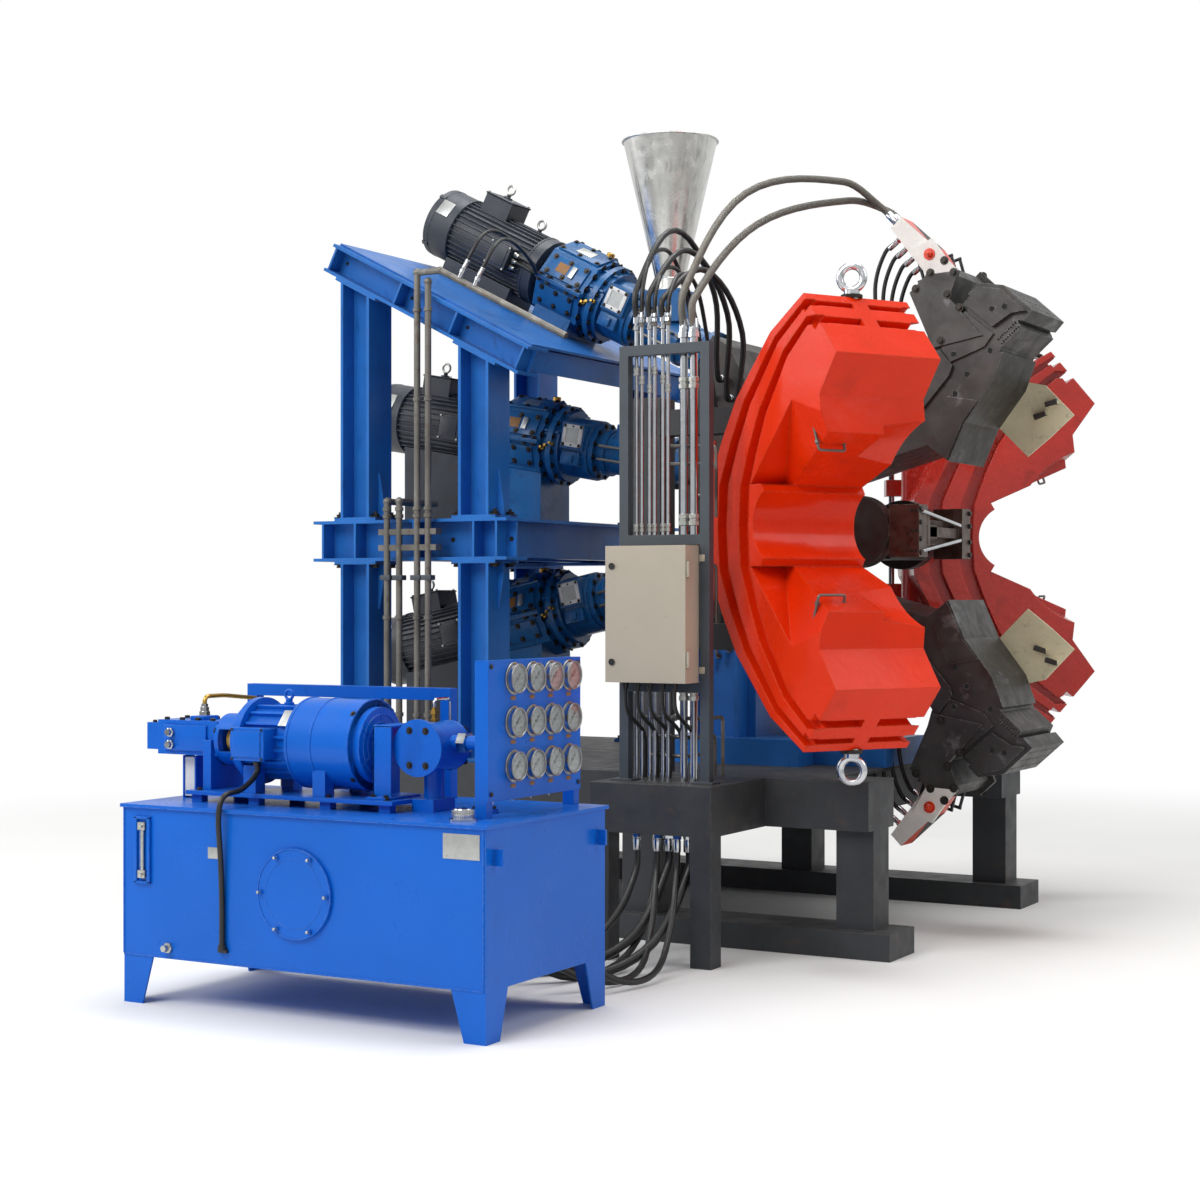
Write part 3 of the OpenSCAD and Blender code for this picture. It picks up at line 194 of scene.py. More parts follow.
def make_finishes(s):
    """Makes every finish of the machine, under the name that the pieces ask for."""
    # Alkyd enamel sprayed on rolled steel: a soft gloss with orange peel, chipped to grey primer at the edges
    tower = Finish("alkyd_enamel_sprayed_blue", s.tower_blue, roughness=0.36)
    FINISHES["tower"] = (tower.edges(3, "#6D7F93", 0.5).drift(380, 0.14).drift(1100, 0.1, (1, 1, 0.3))
                         .stain("#0E3265", 90, 0.13, 0.4, (3, 3, 0.6)).dust("#5C6C80", 0.35).gloss(120, 0.08)
                         .grain(9, 0.25).done(Specular_IOR_Level=0.3, Coat_Weight=0.06, Coat_Roughness=0.15))
    # The same enamel over castings: duller and greener, with oil stains under the joints
    case = Finish("alkyd_enamel_brushed_blue", s.extruder_blue, roughness=0.33)
    FINISHES["case"] = (case.edges(4, "#7892A0", 0.5).drift(220, 0.18).stain("#0A2A4A", 70, 0.18, 0.5)
                        .dust("#60727E", 0.25).gloss(60, 0.08).grain(16, 0.5)
                        .done(Specular_IOR_Level=0.35, Coat_Weight=0.15, Coat_Roughness=0.12))
    # Polyurethane enamel on folded plate: smooth, evenly bright and a little wavy from the welding
    tank = Finish("polyurethane_enamel_sprayed_blue", s.tank_blue, roughness=0.3)
    FINISHES["tank"] = (tank.edges(3, "#7FA4D6", 0.35).drift(650, 0.07)
                        .stain("#0B3C86", 160, 0.1, 0.25, (1, 1, 0.4)).dust("#3F5F8F", 0.4)
                        .gloss(200, 0.05).grain(12, 0.12).grain(420, 1.2)
                        .done(Specular_IOR_Level=0.2, Coat_Weight=0.06, Coat_Roughness=0.1))
    # Dark grey motor enamel on cast iron: satin, sandy from the mould
    motor = Finish("motor_enamel_cast_iron", s.motor_grey, roughness=0.4)
    FINISHES["motor"] = (motor.edges(4, "#8C919C", 0.5).drift(180, 0.2).dust("#6A6F78", 0.35).gloss(50, 0.1)
                         .grain(5, 0.2).done(Specular_IOR_Level=0.4))
    # Thick gloss enamel over a rough sand casting: the paint pools, so highlights break up into pebbles
    clamp = Finish("gloss_enamel_sand_cast_orange", s.clamp_red, roughness=0.27)
    FINISHES["clamp"] = (clamp.edges(9, "#E2683A", 0.35).drift(500, 0.08).stain("#A32405", 260, 0.12, 0.35)
                         .gloss(160, 0.07).grain(34, 0.9, 3.0).grain(190, 2.2)
                         .done(Specular_IOR_Level=0.12, Coat_Weight=0.12, Coat_Roughness=0.08))
    # The same enamel on the far clamp, rougher, and made a darker, redder copy of the near clamp's colour as
    # painted shade: its highlights are broken up more
    far = Finish("gloss_enamel_sand_cast_red_painted_shade", s.clamp_far_red_painted_shade, roughness=0.22)
    FINISHES["clamp_far"] = (far.edges(9, "#C9502E", 0.3).drift(300, 0.16).stain("#5E0C06", 150, 0.2, 0.4)
                             .gloss(90, 0.08).grain(42, 2.6, 3.0)
                             .done(Specular_IOR_Level=0.4, Coat_Weight=0.4, Coat_Roughness=0.07))
    # Tool steel, ground, then blackened by heat: nearly black, with bright rubbed edges and brown bloom
    tool = Finish("tool_steel_heat_blackened", s.jaw_steel, metallic=0.75, roughness=0.46)
    FINISHES["tool"] = (tool.edges(2.5, "#A9A9AA", 0.8).drift(160, 0.3).stain("#4A3A30", 110, 0.15, 0.45)
                        .stain("#8A8A8C", 130, 0.14, 0.55, (1, 0.4, 1)).gloss(70, 0.12)
                        .grain(3, 0.05, 2.0, (1, 0.15, 1)).done())
    # Oiled machined steel of the head: darker, with rust bloom
    head = Finish("machined_steel_oiled", s.head_steel, metallic=0.7, roughness=0.42)
    FINISHES["head"] = (head.edges(3, "#8F8F8F", 0.7).drift(240, 0.3).stain("#3E2A20", 90, 0.22, 0.5)
                        .gloss(80, 0.12).grain(5, 0.12).done())
    # Cassette steel that has browned with heat
    cassette = Finish("nitrided_steel_browned", s.cassette_steel, metallic=0.8, roughness=0.36)
    FINISHES["cassette"] = (cassette.edges(2, "#B9B3AC", 0.8).drift(90, 0.3).stain("#2A1D17", 60, 0.25, 0.6)
                            .gloss(50, 0.12).grain(2.5, 0.04, 2.0, (0.2, 1, 1)).done())
    # Polished steel: mirror gloss with fine haze
    FINISHES["bright"] = (Finish("polished_steel", "#C9CBCE", metallic=1.0, roughness=0.2).drift(60, 0.12)
                          .gloss(25, 0.08).grain(1.5, 0.02, 1.0).done())
    # Chrome plate on tubes and ferrules: near mirror, faintly cloudy
    FINISHES["chrome"] = (Finish("chrome_plated_steel", "#B9BCC0", metallic=1.0, roughness=0.12)
                          .drift(40, 0.08).gloss(30, 0.05).done())
    # Grey oxide on drawn steel pipe, with rust freckles and pale scratches
    pipe = Finish("drawn_steel_pipe_oxide", s.pipe_grey, metallic=0.55, roughness=0.45)
    FINISHES["pipe"] = (pipe.drift(120, 0.3, (1, 1, 0.4)).stain("#5B4636", 45, 0.22, 0.55)
                        .stain("#A3A39E", 60, 0.12, 0.5, (1, 1, 0.3)).gloss(40, 0.1).grain(4, 0.12).done())
    # Black oxide on steel nuts and studs: nearly black, with rust at the flats
    FINISHES["bolt"] = (Finish("black_oxide_bolt", "#34322F", metallic=0.7, roughness=0.42).drift(12, 0.3)
                        .stain("#6B4A32", 14, 0.2, 0.5).grain(3, 0.1).done())
    # Zinc plate on small fittings: pale and slightly cloudy
    FINISHES["zinc"] = (Finish("zinc_plated_fitting", "#B7B8B3", metallic=0.9, roughness=0.33).drift(14, 0.2)
                        .grain(2, 0.05).done())
    # Rolled stainless sheet: brushed round the cone, with dark vertical streaks of painted reflection and
    # near-white vertical streaks of painted highlight
    hopper = Finish("stainless_sheet_brushed", "#E3E3E0", metallic=1.0, roughness=0.24)
    # painted reflection and painted highlight: dark and near-white streaks up the cone
    FINISHES["hopper"] = (hopper.drift(60, 0.12, (1, 1, 0.12)).stain("#8D8B86", 34, 0.2, 0.45, (1, 1, 0.1))
                          .stain("#FAFAF8", 70, 0.25, 0.5, (1, 1, 0.15)).gloss(70, 0.08)
                          .grain(2.2, 0.03, 2.0, (0.12, 0.12, 3)).done())
    # Powder coat on square tube: fine even pebbling
    rack = Finish("powder_coat_slate", s.rack_slate, roughness=0.45)
    FINISHES["rack"] = rack.edges(3, "#9AA0A6", 0.4).drift(200, 0.08).grain(2.2, 0.1).gloss(90, 0.05).done()
    # Shop primer on welded plate: flat charcoal, scuffed to bare metal at the edges and rusty where it wore
    frame_grey = Finish("shop_primer_charcoal", s.base_grey, roughness=0.55)
    FINISHES["base"] = (frame_grey.edges(4, "#77706A", 0.6).drift(260, 0.25).stain("#4C3B30", 120, 0.15, 0.5)
                        .dust("#5C5853", 0.45).gloss(90, 0.1).grain(8, 0.3).done())
    # Textured powder coat on folded sheet: even beige with a fine dry pebble
    cabinet = Finish("powder_coat_textured_beige", s.cabinet_beige, roughness=0.46)
    FINISHES["cabinet"] = (cabinet.edges(3, "#D6D0C4", 0.4).drift(420, 0.05).stain("#857C6C", 60, 0.05, 0.25)
                           .grain(1.8, 0.12).gloss(120, 0.04).done(Coat_Weight=0.1))
    # Cream paint brushed over mill scale: blotched, with dark chips at the edges
    cream = Finish("mill_scale_plate_cream_paint", s.cream, roughness=0.5)
    FINISHES["cream"] = (cream.edges(2, "#6C675C", 0.7).drift(90, 0.1).stain("#8B8570", 45, 0.2, 0.45)
                         .stain("#3F3B34", 25, 0.06, 0.7).grain(4, 0.1).done())
    # Extruded rubber cover: dull black with talc in the hollows
    hose = Finish("rubber_cover_extruded", "#161616", roughness=0.42)
    FINISHES["hose"] = (hose.drift(60, 0.3).stain("#4A4845", 50, 0.12, 0.3).grain(5, 0.12)
                        .gloss(40, 0.08).done())
    # Moulded plastic of knobs and glands: black, finely matt
    FINISHES["plastic"] = (Finish("abs_moulded_black", "#1B1B1C", roughness=0.4).drift(40, 0.12)
                           .grain(1.2, 0.04).done())
    # Cast coupling element: dull amber, a little cloudy
    FINISHES["yellow"] = (Finish("polyurethane_cast_amber", "#C9A24A", roughness=0.45).drift(20, 0.12)
                          .grain(3, 0.1).done())
    # Sprayed valve block: glossy orange, rubbed dark at its edges
    FINISHES["orange"] = (Finish("enamel_sprayed_orange", "#D9380E", roughness=0.35).drift(60, 0.1)
                          .edges(2, "#8F3A20", 0.5).grain(7, 0.2).done(Coat_Weight=0.4))
    # Lacquered aluminium brackets: nearly white, with oily smudges
    FINISHES["white"] = (Finish("aluminium_lacquered_white", "#E4E3DE", roughness=0.4).drift(40, 0.04)
                         .stain("#9B978D", 18, 0.08, 0.4).grain(2, 0.03).done())
    # Turned brass: yellow, with fine lathe rings
    FINISHES["brass"] = (Finish("brass_turned", "#B08D45", metallic=1.0, roughness=0.3).drift(10, 0.15)
                         .grain(1.5, 0.03).done())
    # Brushed blank plates: pale grey metal with fine lines
    FINISHES["tag"] = (Finish("aluminium_anodised_brushed", "#AEB0AE", metallic=0.9, roughness=0.38)
                       .drift(25, 0.08).grain(1.0, 0.02, 1.0, (0.1, 1, 1)).done())
    # Vinyl stickers: flat warm colour, faintly soiled
    FINISHES["amber"] = (Finish("vinyl_printed_amber", "#8C5F2C", roughness=0.5).drift(20, 0.05)
                         .stain("#5F4322", 15, 0.1, 0.3).done())
    # Painted shade: flat near-black discs that stand for the unlit inside of drilled holes and vents
    FINISHES["dark"] = Finish("painted_shade_hole_discs", "#0B0B0C", roughness=0.8).drift(20, 0.2).done()
    # Stove-enamelled needles and scale marks: flat black
    FINISHES["ink"] = Finish("enamel_stoved_black", "#1A1A1A", roughness=0.6).drift(5, 0.1).done()
    # Dial lacquer: an even pale grey
    FINISHES["dial"] = Finish("lacquer_sprayed_dial_grey", "#929899", roughness=0.45).drift(30, 0.06).done()
    # Nitrided screws: grey metal, streaked along the flight by rubber
    FINISHES["screw"] = (Finish("steel_nitrided_polished", "#8E8F90", metallic=1.0, roughness=0.3)
                         .drift(40, 0.2).grain(2, 0.04, 2.0, (0.2, 1, 1)).done())
    # Pressed gauge glass: clear, with a thin bright reflection
    FINISHES["glass"] = (Finish("glass_pressed_clear", "#F4F8F8", roughness=0.04).drift(50, 0.01)
                         .done(Transmission_Weight=0.92, IOR=1.47, Alpha=0.35))
    FINISHES["braid"] = braid_finish()


def braid_finish():
    """Woven stainless wire: crossing strands a few millimetres wide, dark between them."""
    braid = Finish("stainless_wire_woven", "#2E2A25", metallic=0.8, roughness=0.38)
    along_hose = add(braid.tree, "ShaderNodeTexCoord", out="UV")
    strands = []
    for turn in (0.9, -0.9):
        where = add(braid.tree, "ShaderNodeMapping", {"Vector": along_hose, "Rotation": (0, 0, turn)})
        strands.append(add(braid.tree, "ShaderNodeTexWave", {"Vector": where, "Scale": 1.6}, out="Fac",
                           wave_type="BANDS", bands_direction="X"))
    height = add(braid.tree, "ShaderNodeMath", {0: strands[0], 1: strands[1]}, operation="MAXIMUM")
    wire = add(braid.tree, "ShaderNodeMapRange", {"Value": height, "From Min": 0.3, "From Max": 0.9})
    braid.blend_in(wire, linear("#8E8B84"))
    braid.normal = add(braid.tree, "ShaderNodeBump", {"Height": height, "Distance": 1.2 * MM})
    return braid.stain("#5E503F", 80, 0.2, 0.4).done()


# ---------------------------------------------------------------- shapes, in millimetres
def turned(axis, up=UP):
    """A rotation whose Z runs along axis."""
    z = Vector(axis).normalized()
    x = Vector(up).cross(z)
    if x.length < 1e-6:
        x = Vector(AHEAD if abs(z.x) < 0.9 else FAR).cross(z)
    x.normalize()
    return Matrix((x, z.cross(x), z)).transposed().to_4x4()


def circle(count, radius, start=0.0, centre=(0, 0)):
    """Points evenly round a circle, the first at the angle start."""
    angles = [start + 2 * math.pi * k / count for k in range(count)]
    return [(centre[0] + radius * math.cos(a), centre[1] + radius * math.sin(a)) for a in angles]


class Shape:
    """Solids gathered in one mesh, each drawn in the place that is set at the time."""

    def __init__(self, place=None):
        self.bm = bmesh.new()
        self.place = place or Matrix.Identity(4)
        self.uv = self.bm.loops.layers.uv.new("UVMap")

    def points(self, found):
        """Corners of the mesh at points of the present place."""
        return [self.bm.verts.new(self.place @ Vector(p)) for p in found]

    def skin(self, rings, closed=False):
        """Faces between rings of corners; closed joins the last ring to the first too."""
        steps = len(rings[0])
        for low, high in zip(rings, rings[1:] + rings[:closed]):
            for k in range(steps):
                self.bm.faces.new((low[k], low[(k + 1) % steps], high[(k + 1) % steps], high[k]))
        return self

    def spin(self, place, count, start=0.5, axis="X"):
        """Sets the place to each of count equal turns about an axis, then back to where it began."""
        for k in range(count):
            self.place = place @ Matrix.Rotation(2 * math.pi * (k + start) / count, 4, axis)
            yield k
        self.place = place

    def slab(self, low, high, bevel=0.0):
        """A block between two corners, its edges bevelled."""
        centre = (Vector(low) + Vector(high)) / 2
        size = Vector(high) - Vector(low)
        made = bmesh.ops.create_cube(self.bm, size=1.0, matrix=self.place @ Matrix.Translation(centre)
                                     @ Matrix.Diagonal((*size, 1)))
        if bevel:
            edges = list({e for v in made["verts"] for e in v.link_edges})
            bmesh.ops.bevel(self.bm, geom=edges, offset=bevel, segments=2, profile=0.6, affect="EDGES")
        return self

    def lathe(self, profile, at, axis, steps):
        """A profile of (distance along axis, radius) turned about the axis through at."""
        place = Matrix.Translation(Vector(at)) @ turned(axis)
        rings = [self.points([place @ Vector((x, y, z)) for x, y in circle(steps, radius)])
                 for z, radius in profile]
        self.skin(rings)
        if profile[0][1] > 0.01:
            self.bm.faces.new(rings[0][::-1])
        if profile[-1][1] > 0.01:
            self.bm.faces.new(rings[-1])
        return self

    def rod(self, a, b, radius, steps, chamfer=0.0):
        """A round bar from a to b, its ends chamfered."""
        run = Vector(b) - Vector(a)
        profile = [(0, radius), (run.length, radius)]
        if chamfer:
            c = min(chamfer, radius * 0.5)
            profile = [(0, radius - c), (c, radius), (run.length - c, radius), (run.length, radius - c)]
        return self.lathe(profile, a, run, steps)

    def hexagon(self, at, axis, across, height, washer=True):
        """A bolt head on its washer."""
        if washer:
            self.lathe([(0, across * 0.95), (height * 0.2, across * 0.95)], at, axis, 16)
        self.lathe([(height * 0.15, across / 2), (height * 0.9, across / 2 * 1.15), (height, across / 2)],
                   at, axis, 6)
        return self

    def prism(self, outline, place, depth):
        """An outline in X and Y of place, as thick as depth along its Z."""
        low = self.points([place @ Vector((x, y, 0)) for x, y in outline])
        high = self.points([place @ Vector((x, y, depth)) for x, y in outline])
        self.bm.faces.new(low[::-1])
        self.bm.faces.new(high)
        return self.skin([low, high])

    def tube(self, line, radius, steps):
        """A round tube along a line of points, with texture coordinates in centimetres."""
        pts = [Vector(p) for p in line]
        n = len(pts)
        ahead = [(pts[min(i + 1, n - 1)] - pts[max(i - 1, 0)]).normalized() for i in range(n)]
        side = ahead[0].orthogonal().normalized()
        rings, run = [], [0.0]
        for i in range(n):
            side = (side - ahead[i] * side.dot(ahead[i])).normalized()
            other = ahead[i].cross(side)
            rings.append(self.points([pts[i] + x * side + y * other for x, y in circle(steps, radius)]))
            if i:
                run.append(run[-1] + (pts[i] - pts[i - 1]).length)
        self.bm.faces.new(rings[0][::-1])
        self.bm.faces.new(rings[-1])
        for i in range(n - 1):
            for k in range(steps):
                face = self.bm.faces.new((rings[i][k], rings[i][(k + 1) % steps],
                                          rings[i + 1][(k + 1) % steps], rings[i + 1][k]))
                for loop, (u, v) in zip(face.loops, ((k, i), (k + 1, i), (k + 1, i + 1), (k, i + 1))):
                    loop[self.uv].uv = (u / steps * 2 * math.pi * radius / 10, run[v] / 10)
        return self

    def torus(self, at, axis, radius, thick, steps, sides):
        """A ring of round bar."""
        place = Matrix.Translation(Vector(at)) @ turned(axis)
        section = [(radius + out, up) for out, up in circle(sides, thick)]
        rings = [self.points([place @ Vector((r * x, r * y, up)) for r, up in section])
                 for x, y in circle(steps, 1.0)]
        return self.skin(rings, closed=True)


def made_of(name, shape, material):
    """An object in the scene, made of a shape in one material."""
    mesh = bpy.data.meshes.new(name)
    shape.bm.transform(Matrix.Scale(MM, 4))
    bmesh.ops.recalc_face_normals(shape.bm, faces=shape.bm.faces)
    shape.bm.to_mesh(mesh)
    shape.bm.free()
    mesh.materials.append(material)
    made = bpy.data.objects.new(name, mesh)
    bpy.context.scene.collection.objects.link(made)
    return made


def piece(name, shape, finish, body="machine"):
    """Makes a shape in a finish, smooth but for sharp edges, that rides on a body unless none is given."""
    made = made_of(name, shape, FINISHES[finish])
    made.data.shade_smooth()
    made.data.set_sharp_from_angle(angle=math.radians(38))
    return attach(made, body) if body else made


def smooth_line(route):
    """A smooth line of about 36 points through a route, straight out of its first and into its last."""
    p = [Vector(x) for x in route]
    n = len(p)
    parts = max(2, 36 // (n - 1))
    aim = [(p[1] - p[0]).normalized()] + [(p[i + 1] - p[i - 1]).normalized() for i in range(1, n - 1)]
    aim.append((p[-1] - p[-2]).normalized())
    line = []
    for i in range(n - 1):
        reach = (p[i + 1] - p[i]).length
        for k in range(parts):
            t = k / parts
            line.append((2 * t ** 3 - 3 * t ** 2 + 1) * p[i] + (t ** 3 - 2 * t ** 2 + t) * reach * aim[i]
                        + (3 * t ** 2 - 2 * t ** 3) * p[i + 1] + (t ** 3 - t ** 2) * reach * aim[i + 1])
    return line + [p[-1]]


def run_length(line):
    """The length of a line of points, in metres."""
    return sum((b - a).length for a, b in zip(line, line[1:])) * MM


def cord(name, route, radius, finish, node=None, lay="hanging", body="machine"):
    """A hose or cable along a route."""
    line = smooth_line(route)
    made = piece(name, Shape().tube(line, radius, 14), finish, body)
    path = [tuple(x * MM for x in p) for p in line]
    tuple(path[0])
    run_length(line)
    if node:
        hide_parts(node)
    return made


def pipe_run(shape, route, radius, elbow, steps):
    """A rigid pipe through corner points, each corner bent round."""
    p = [Vector(x) for x in route]
    line = [p[0]]
    for a, b, c in zip(p, p[1:], p[2:]):
        before = b + (a - b).normalized() * elbow
        after = b + (c - b).normalized() * elbow
        line += [before.lerp(b, t).lerp(b.lerp(after, t), t) for t in (0, 0.25, 0.5, 0.75, 1)]
    return shape.tube(line + [p[-1]], radius, steps)


def mm_box(node):
    """A node's lowest and highest corners in millimetres."""
    low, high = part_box(node)
    return low / MM, high / MM


def along(joint):
    """The place of an extruder: origin at its docking point, X towards the head."""
    at, axis = Vector(JOINTS[joint]["pos_m"]) / MM, Vector(JOINTS[joint]["axis"])
    x, y = axis.normalized(), Vector(FAR)
    return Matrix.Translation(at) @ Matrix((x, y, x.cross(y))).transposed().to_4x4()


def jaw_place(which):
    """The place of a jaw: origin on its pivot, X forward in the closed head; the lower one is mirrored."""
    joint = JOINTS[which + "_tilt"]
    angle = math.radians(max(abs(a) for a in joint["range_deg"]))
    at = Vector(joint["pos_m"]) / MM
    if which == "upper_jaw":
        return Matrix.Translation(at) @ Matrix.Rotation(-angle, 4, "Y")
    return Matrix.Translation(at) @ Matrix.Diagonal((1, 1, -1, 1)) @ Matrix.Rotation(-angle, 4, "Y")


def clamp_place(side):
    """The place of a clamp: origin on its hinge at mid height, X towards the mouth; far is mirrored."""
    at = Vector(JOINTS["clamp_near_swing"]["pos_m"]) / MM
    near = Matrix.Translation(at) @ Matrix.Rotation(math.radians(-30), 4, "Z")
    return near if side == "near" else Matrix.Diagonal((1, -1, 1, 1)) @ near


# ---------------------------------------------------------------- settings
def colour_property(name, text, hexa):
    """A colour setting, given as an sRGB hex value."""
    return bpy.props.FloatVectorProperty(name=name, description=text, subtype="COLOR", size=3,
                                         min=0.0, max=1.0, default=linear(hexa)[:3])


def length_property(name, text, value_mm):
    """A length setting, given in millimetres and shown in metres."""
    return bpy.props.FloatProperty(name=name, description=text, subtype="DISTANCE", unit="LENGTH",
                                   min=0.0, default=value_mm * MM)


class ExtruderColours(bpy.types.PropertyGroup):
    tower_blue: colour_property("Tower", "Enamel of the tower and its decks", "#2068B6")
    extruder_blue: colour_property("Extruders", "Enamel of gear cases and barrels", "#175C96")
    tank_blue: colour_property("Power unit", "Enamel of the tank and everything on it", "#0A60C6")
    motor_grey: colour_property("Motors", "Enamel of the drive motors", "#33373F")
    clamp_red: colour_property("Near clamp", "Enamel of the near clamp", "#DC2E06")
    # the far clamp's copy of the enamel, darkened as painted shade
    clamp_far_red_painted_shade: colour_property("Far clamp", "Enamel of the far clamp", "#BC2A1E")
    jaw_steel: colour_property("Jaws", "Blackened steel of the jaws", "#454443")
    head_steel: colour_property("Head", "Oiled steel of the head", "#3C3A39")
    cassette_steel: colour_property("Cassette", "Browned steel of the die cassette", "#5A4B43")
    pipe_grey: colour_property("Pipes", "Oxide of the steel pipes", "#6E6B66")
    rack_slate: colour_property("Rack", "Powder coat of the pipe rack", "#3F464D")
    base_grey: colour_property("Base", "Primer of the base frame", "#2C2E31")
    cabinet_beige: colour_property("Cabinet", "Powder coat of the terminal cabinet", "#B4AA98")
    cream: colour_property("Switch plates", "Paint of the plates beside the jaws", "#D6CFAE")


class ExtruderSizes(bpy.types.PropertyGroup):
    tower_bolt: length_property("Tower bolts", "Width across flats of the tower's bolts", 36)
    motor_fin: length_property("Motor fins", "Height of a drive motor's fins", 13)
    fins: bpy.props.IntProperty(name="Fins", description="Number of fins round a drive motor",
                                default=36, min=8)
    weld: length_property("Weld bead", "Radius of a weld bead", 4)
    window: length_property("Sight window", "Side of the sight windows on the gear cases", 118)
    ferrule: length_property("Ferrules", "Length of the ferrules on the rack's hoses", 70)
    hole: length_property("Jaw holes", "Radius of the holes drilled in the jaws", 7)
    dial: length_property("Dials", "Radius of a gauge dial", 50)
    floor: length_property("Floor", "Radius of the floor", 40000)


def sizes():
    """The sizes that the panel shows."""
    return bpy.context.scene.extruder_sizes


# ---------------------------------------------------------------- pieces
DRESS = {
    "tower": ["columns", "deck_mid", "deck_top", "head_stand"],
    "base": ["base_frame", "clamp_posts"],
    "motor": ["motor_top", "motor_mid", "motor_low"],
    "case": ["gearbox_top", "gearbox_mid", "gearbox_low", "barrel_top", "barrel_mid", "barrel_low"],
    "screw": ["screw_top", "screw_mid", "screw_low"],
    "hopper": ["feed_hopper"],
    "head": ["head_body"],
    "cassette": ["die_cassette"],
    "tool": ["jaw_upper", "jaw_lower", "jaw_plates_upper", "jaw_plates_lower"],
    "clamp": ["clamp_near"],
    "clamp_far": ["clamp_far"],
    "rack": ["pipe_rack"],
    "chrome": ["rack_pipes", "gauge_cases", "filler_cap"],
    "zinc": ["level_gauge"],
    "pipe": ["riser_pipes"],
    "cabinet": ["cabinet_box", "cabinet_door"],
    "plastic": ["lock_upper", "lock_lower"],
    "tank": ["tank", "manhole_cover", "pump_rail", "pump_motor", "pump", "return_filter", "gauge_panel"],
    "yellow": ["pump_coupling"],
    "ink": ["needle_%d" % i for i in range(1, 13)],
    "hose": ["hose_arches", "motor_cable"],
    "braid": ["braided_conduits"],
}


def second_finish(node, finish, chosen):
    """Gives another finish to the faces of a node whose middle, in millimetres, is chosen."""
    mesh = NODES[node].data
    mesh.materials.append(FINISHES[finish])
    index = len(mesh.materials) - 1
    for face in mesh.polygons:
        if chosen(face.center / MM):
            face.material_index = index


class EXTRUDER_OT_finishes(bpy.types.Operator):
    """Make the finishes and give every solid its own"""
    bl_idname = "extruder.finishes"
    bl_label = "Finishes"

    def execute(self, context):
        make_finishes(context.scene.extruder_colours)
        for finish, nodes in DRESS.items():
            for node in nodes:
                mesh = NODES[node].data
                mesh.materials.clear()
                mesh.materials.append(FINISHES[finish])
        # ground end faces and hinge rods of the clamps
        for side in ("near", "far"):
            back = clamp_place(side).inverted()
            second_finish("clamp_" + side, "bright",
                          lambda p: abs((back @ p).z) > 982 and (back @ p).x > 400)
            second_finish("clamp_" + side, "chrome",
                          lambda p: (back @ p).x < -98 and abs((back @ p).z) < 401 and
                          math.hypot((back @ p).x + 115, (back @ p).y + 235) < 20)
        # bracket, ejector block, switch plate and boxes, which are modelled with the jaws' side plates
        for which, node in (("upper_jaw", "jaw_plates_upper"), ("lower_jaw", "jaw_plates_lower")):
            back = jaw_place(which).inverted()
            second_finish(node, "white", lambda p: (back @ p).y < -249 and (back @ p).z > 636)
            second_finish(node, "orange", lambda p: -250 < (back @ p).y < -99 and (back @ p).z > 636
                          and not 1090 < (back @ p).x < 1215 or 900 < (back @ p).z)
            second_finish(node, "cream", lambda p: (back @ p).y > 240 and (back @ p).z < 110)
            second_finish(node, "plastic", lambda p: 590 < (back @ p).z < 800 and 1095 < (back @ p).x < 1215
                          and not -251 < (back @ p).y < -195 and abs((back @ p).y) < 195)
        return {"FINISHED"}


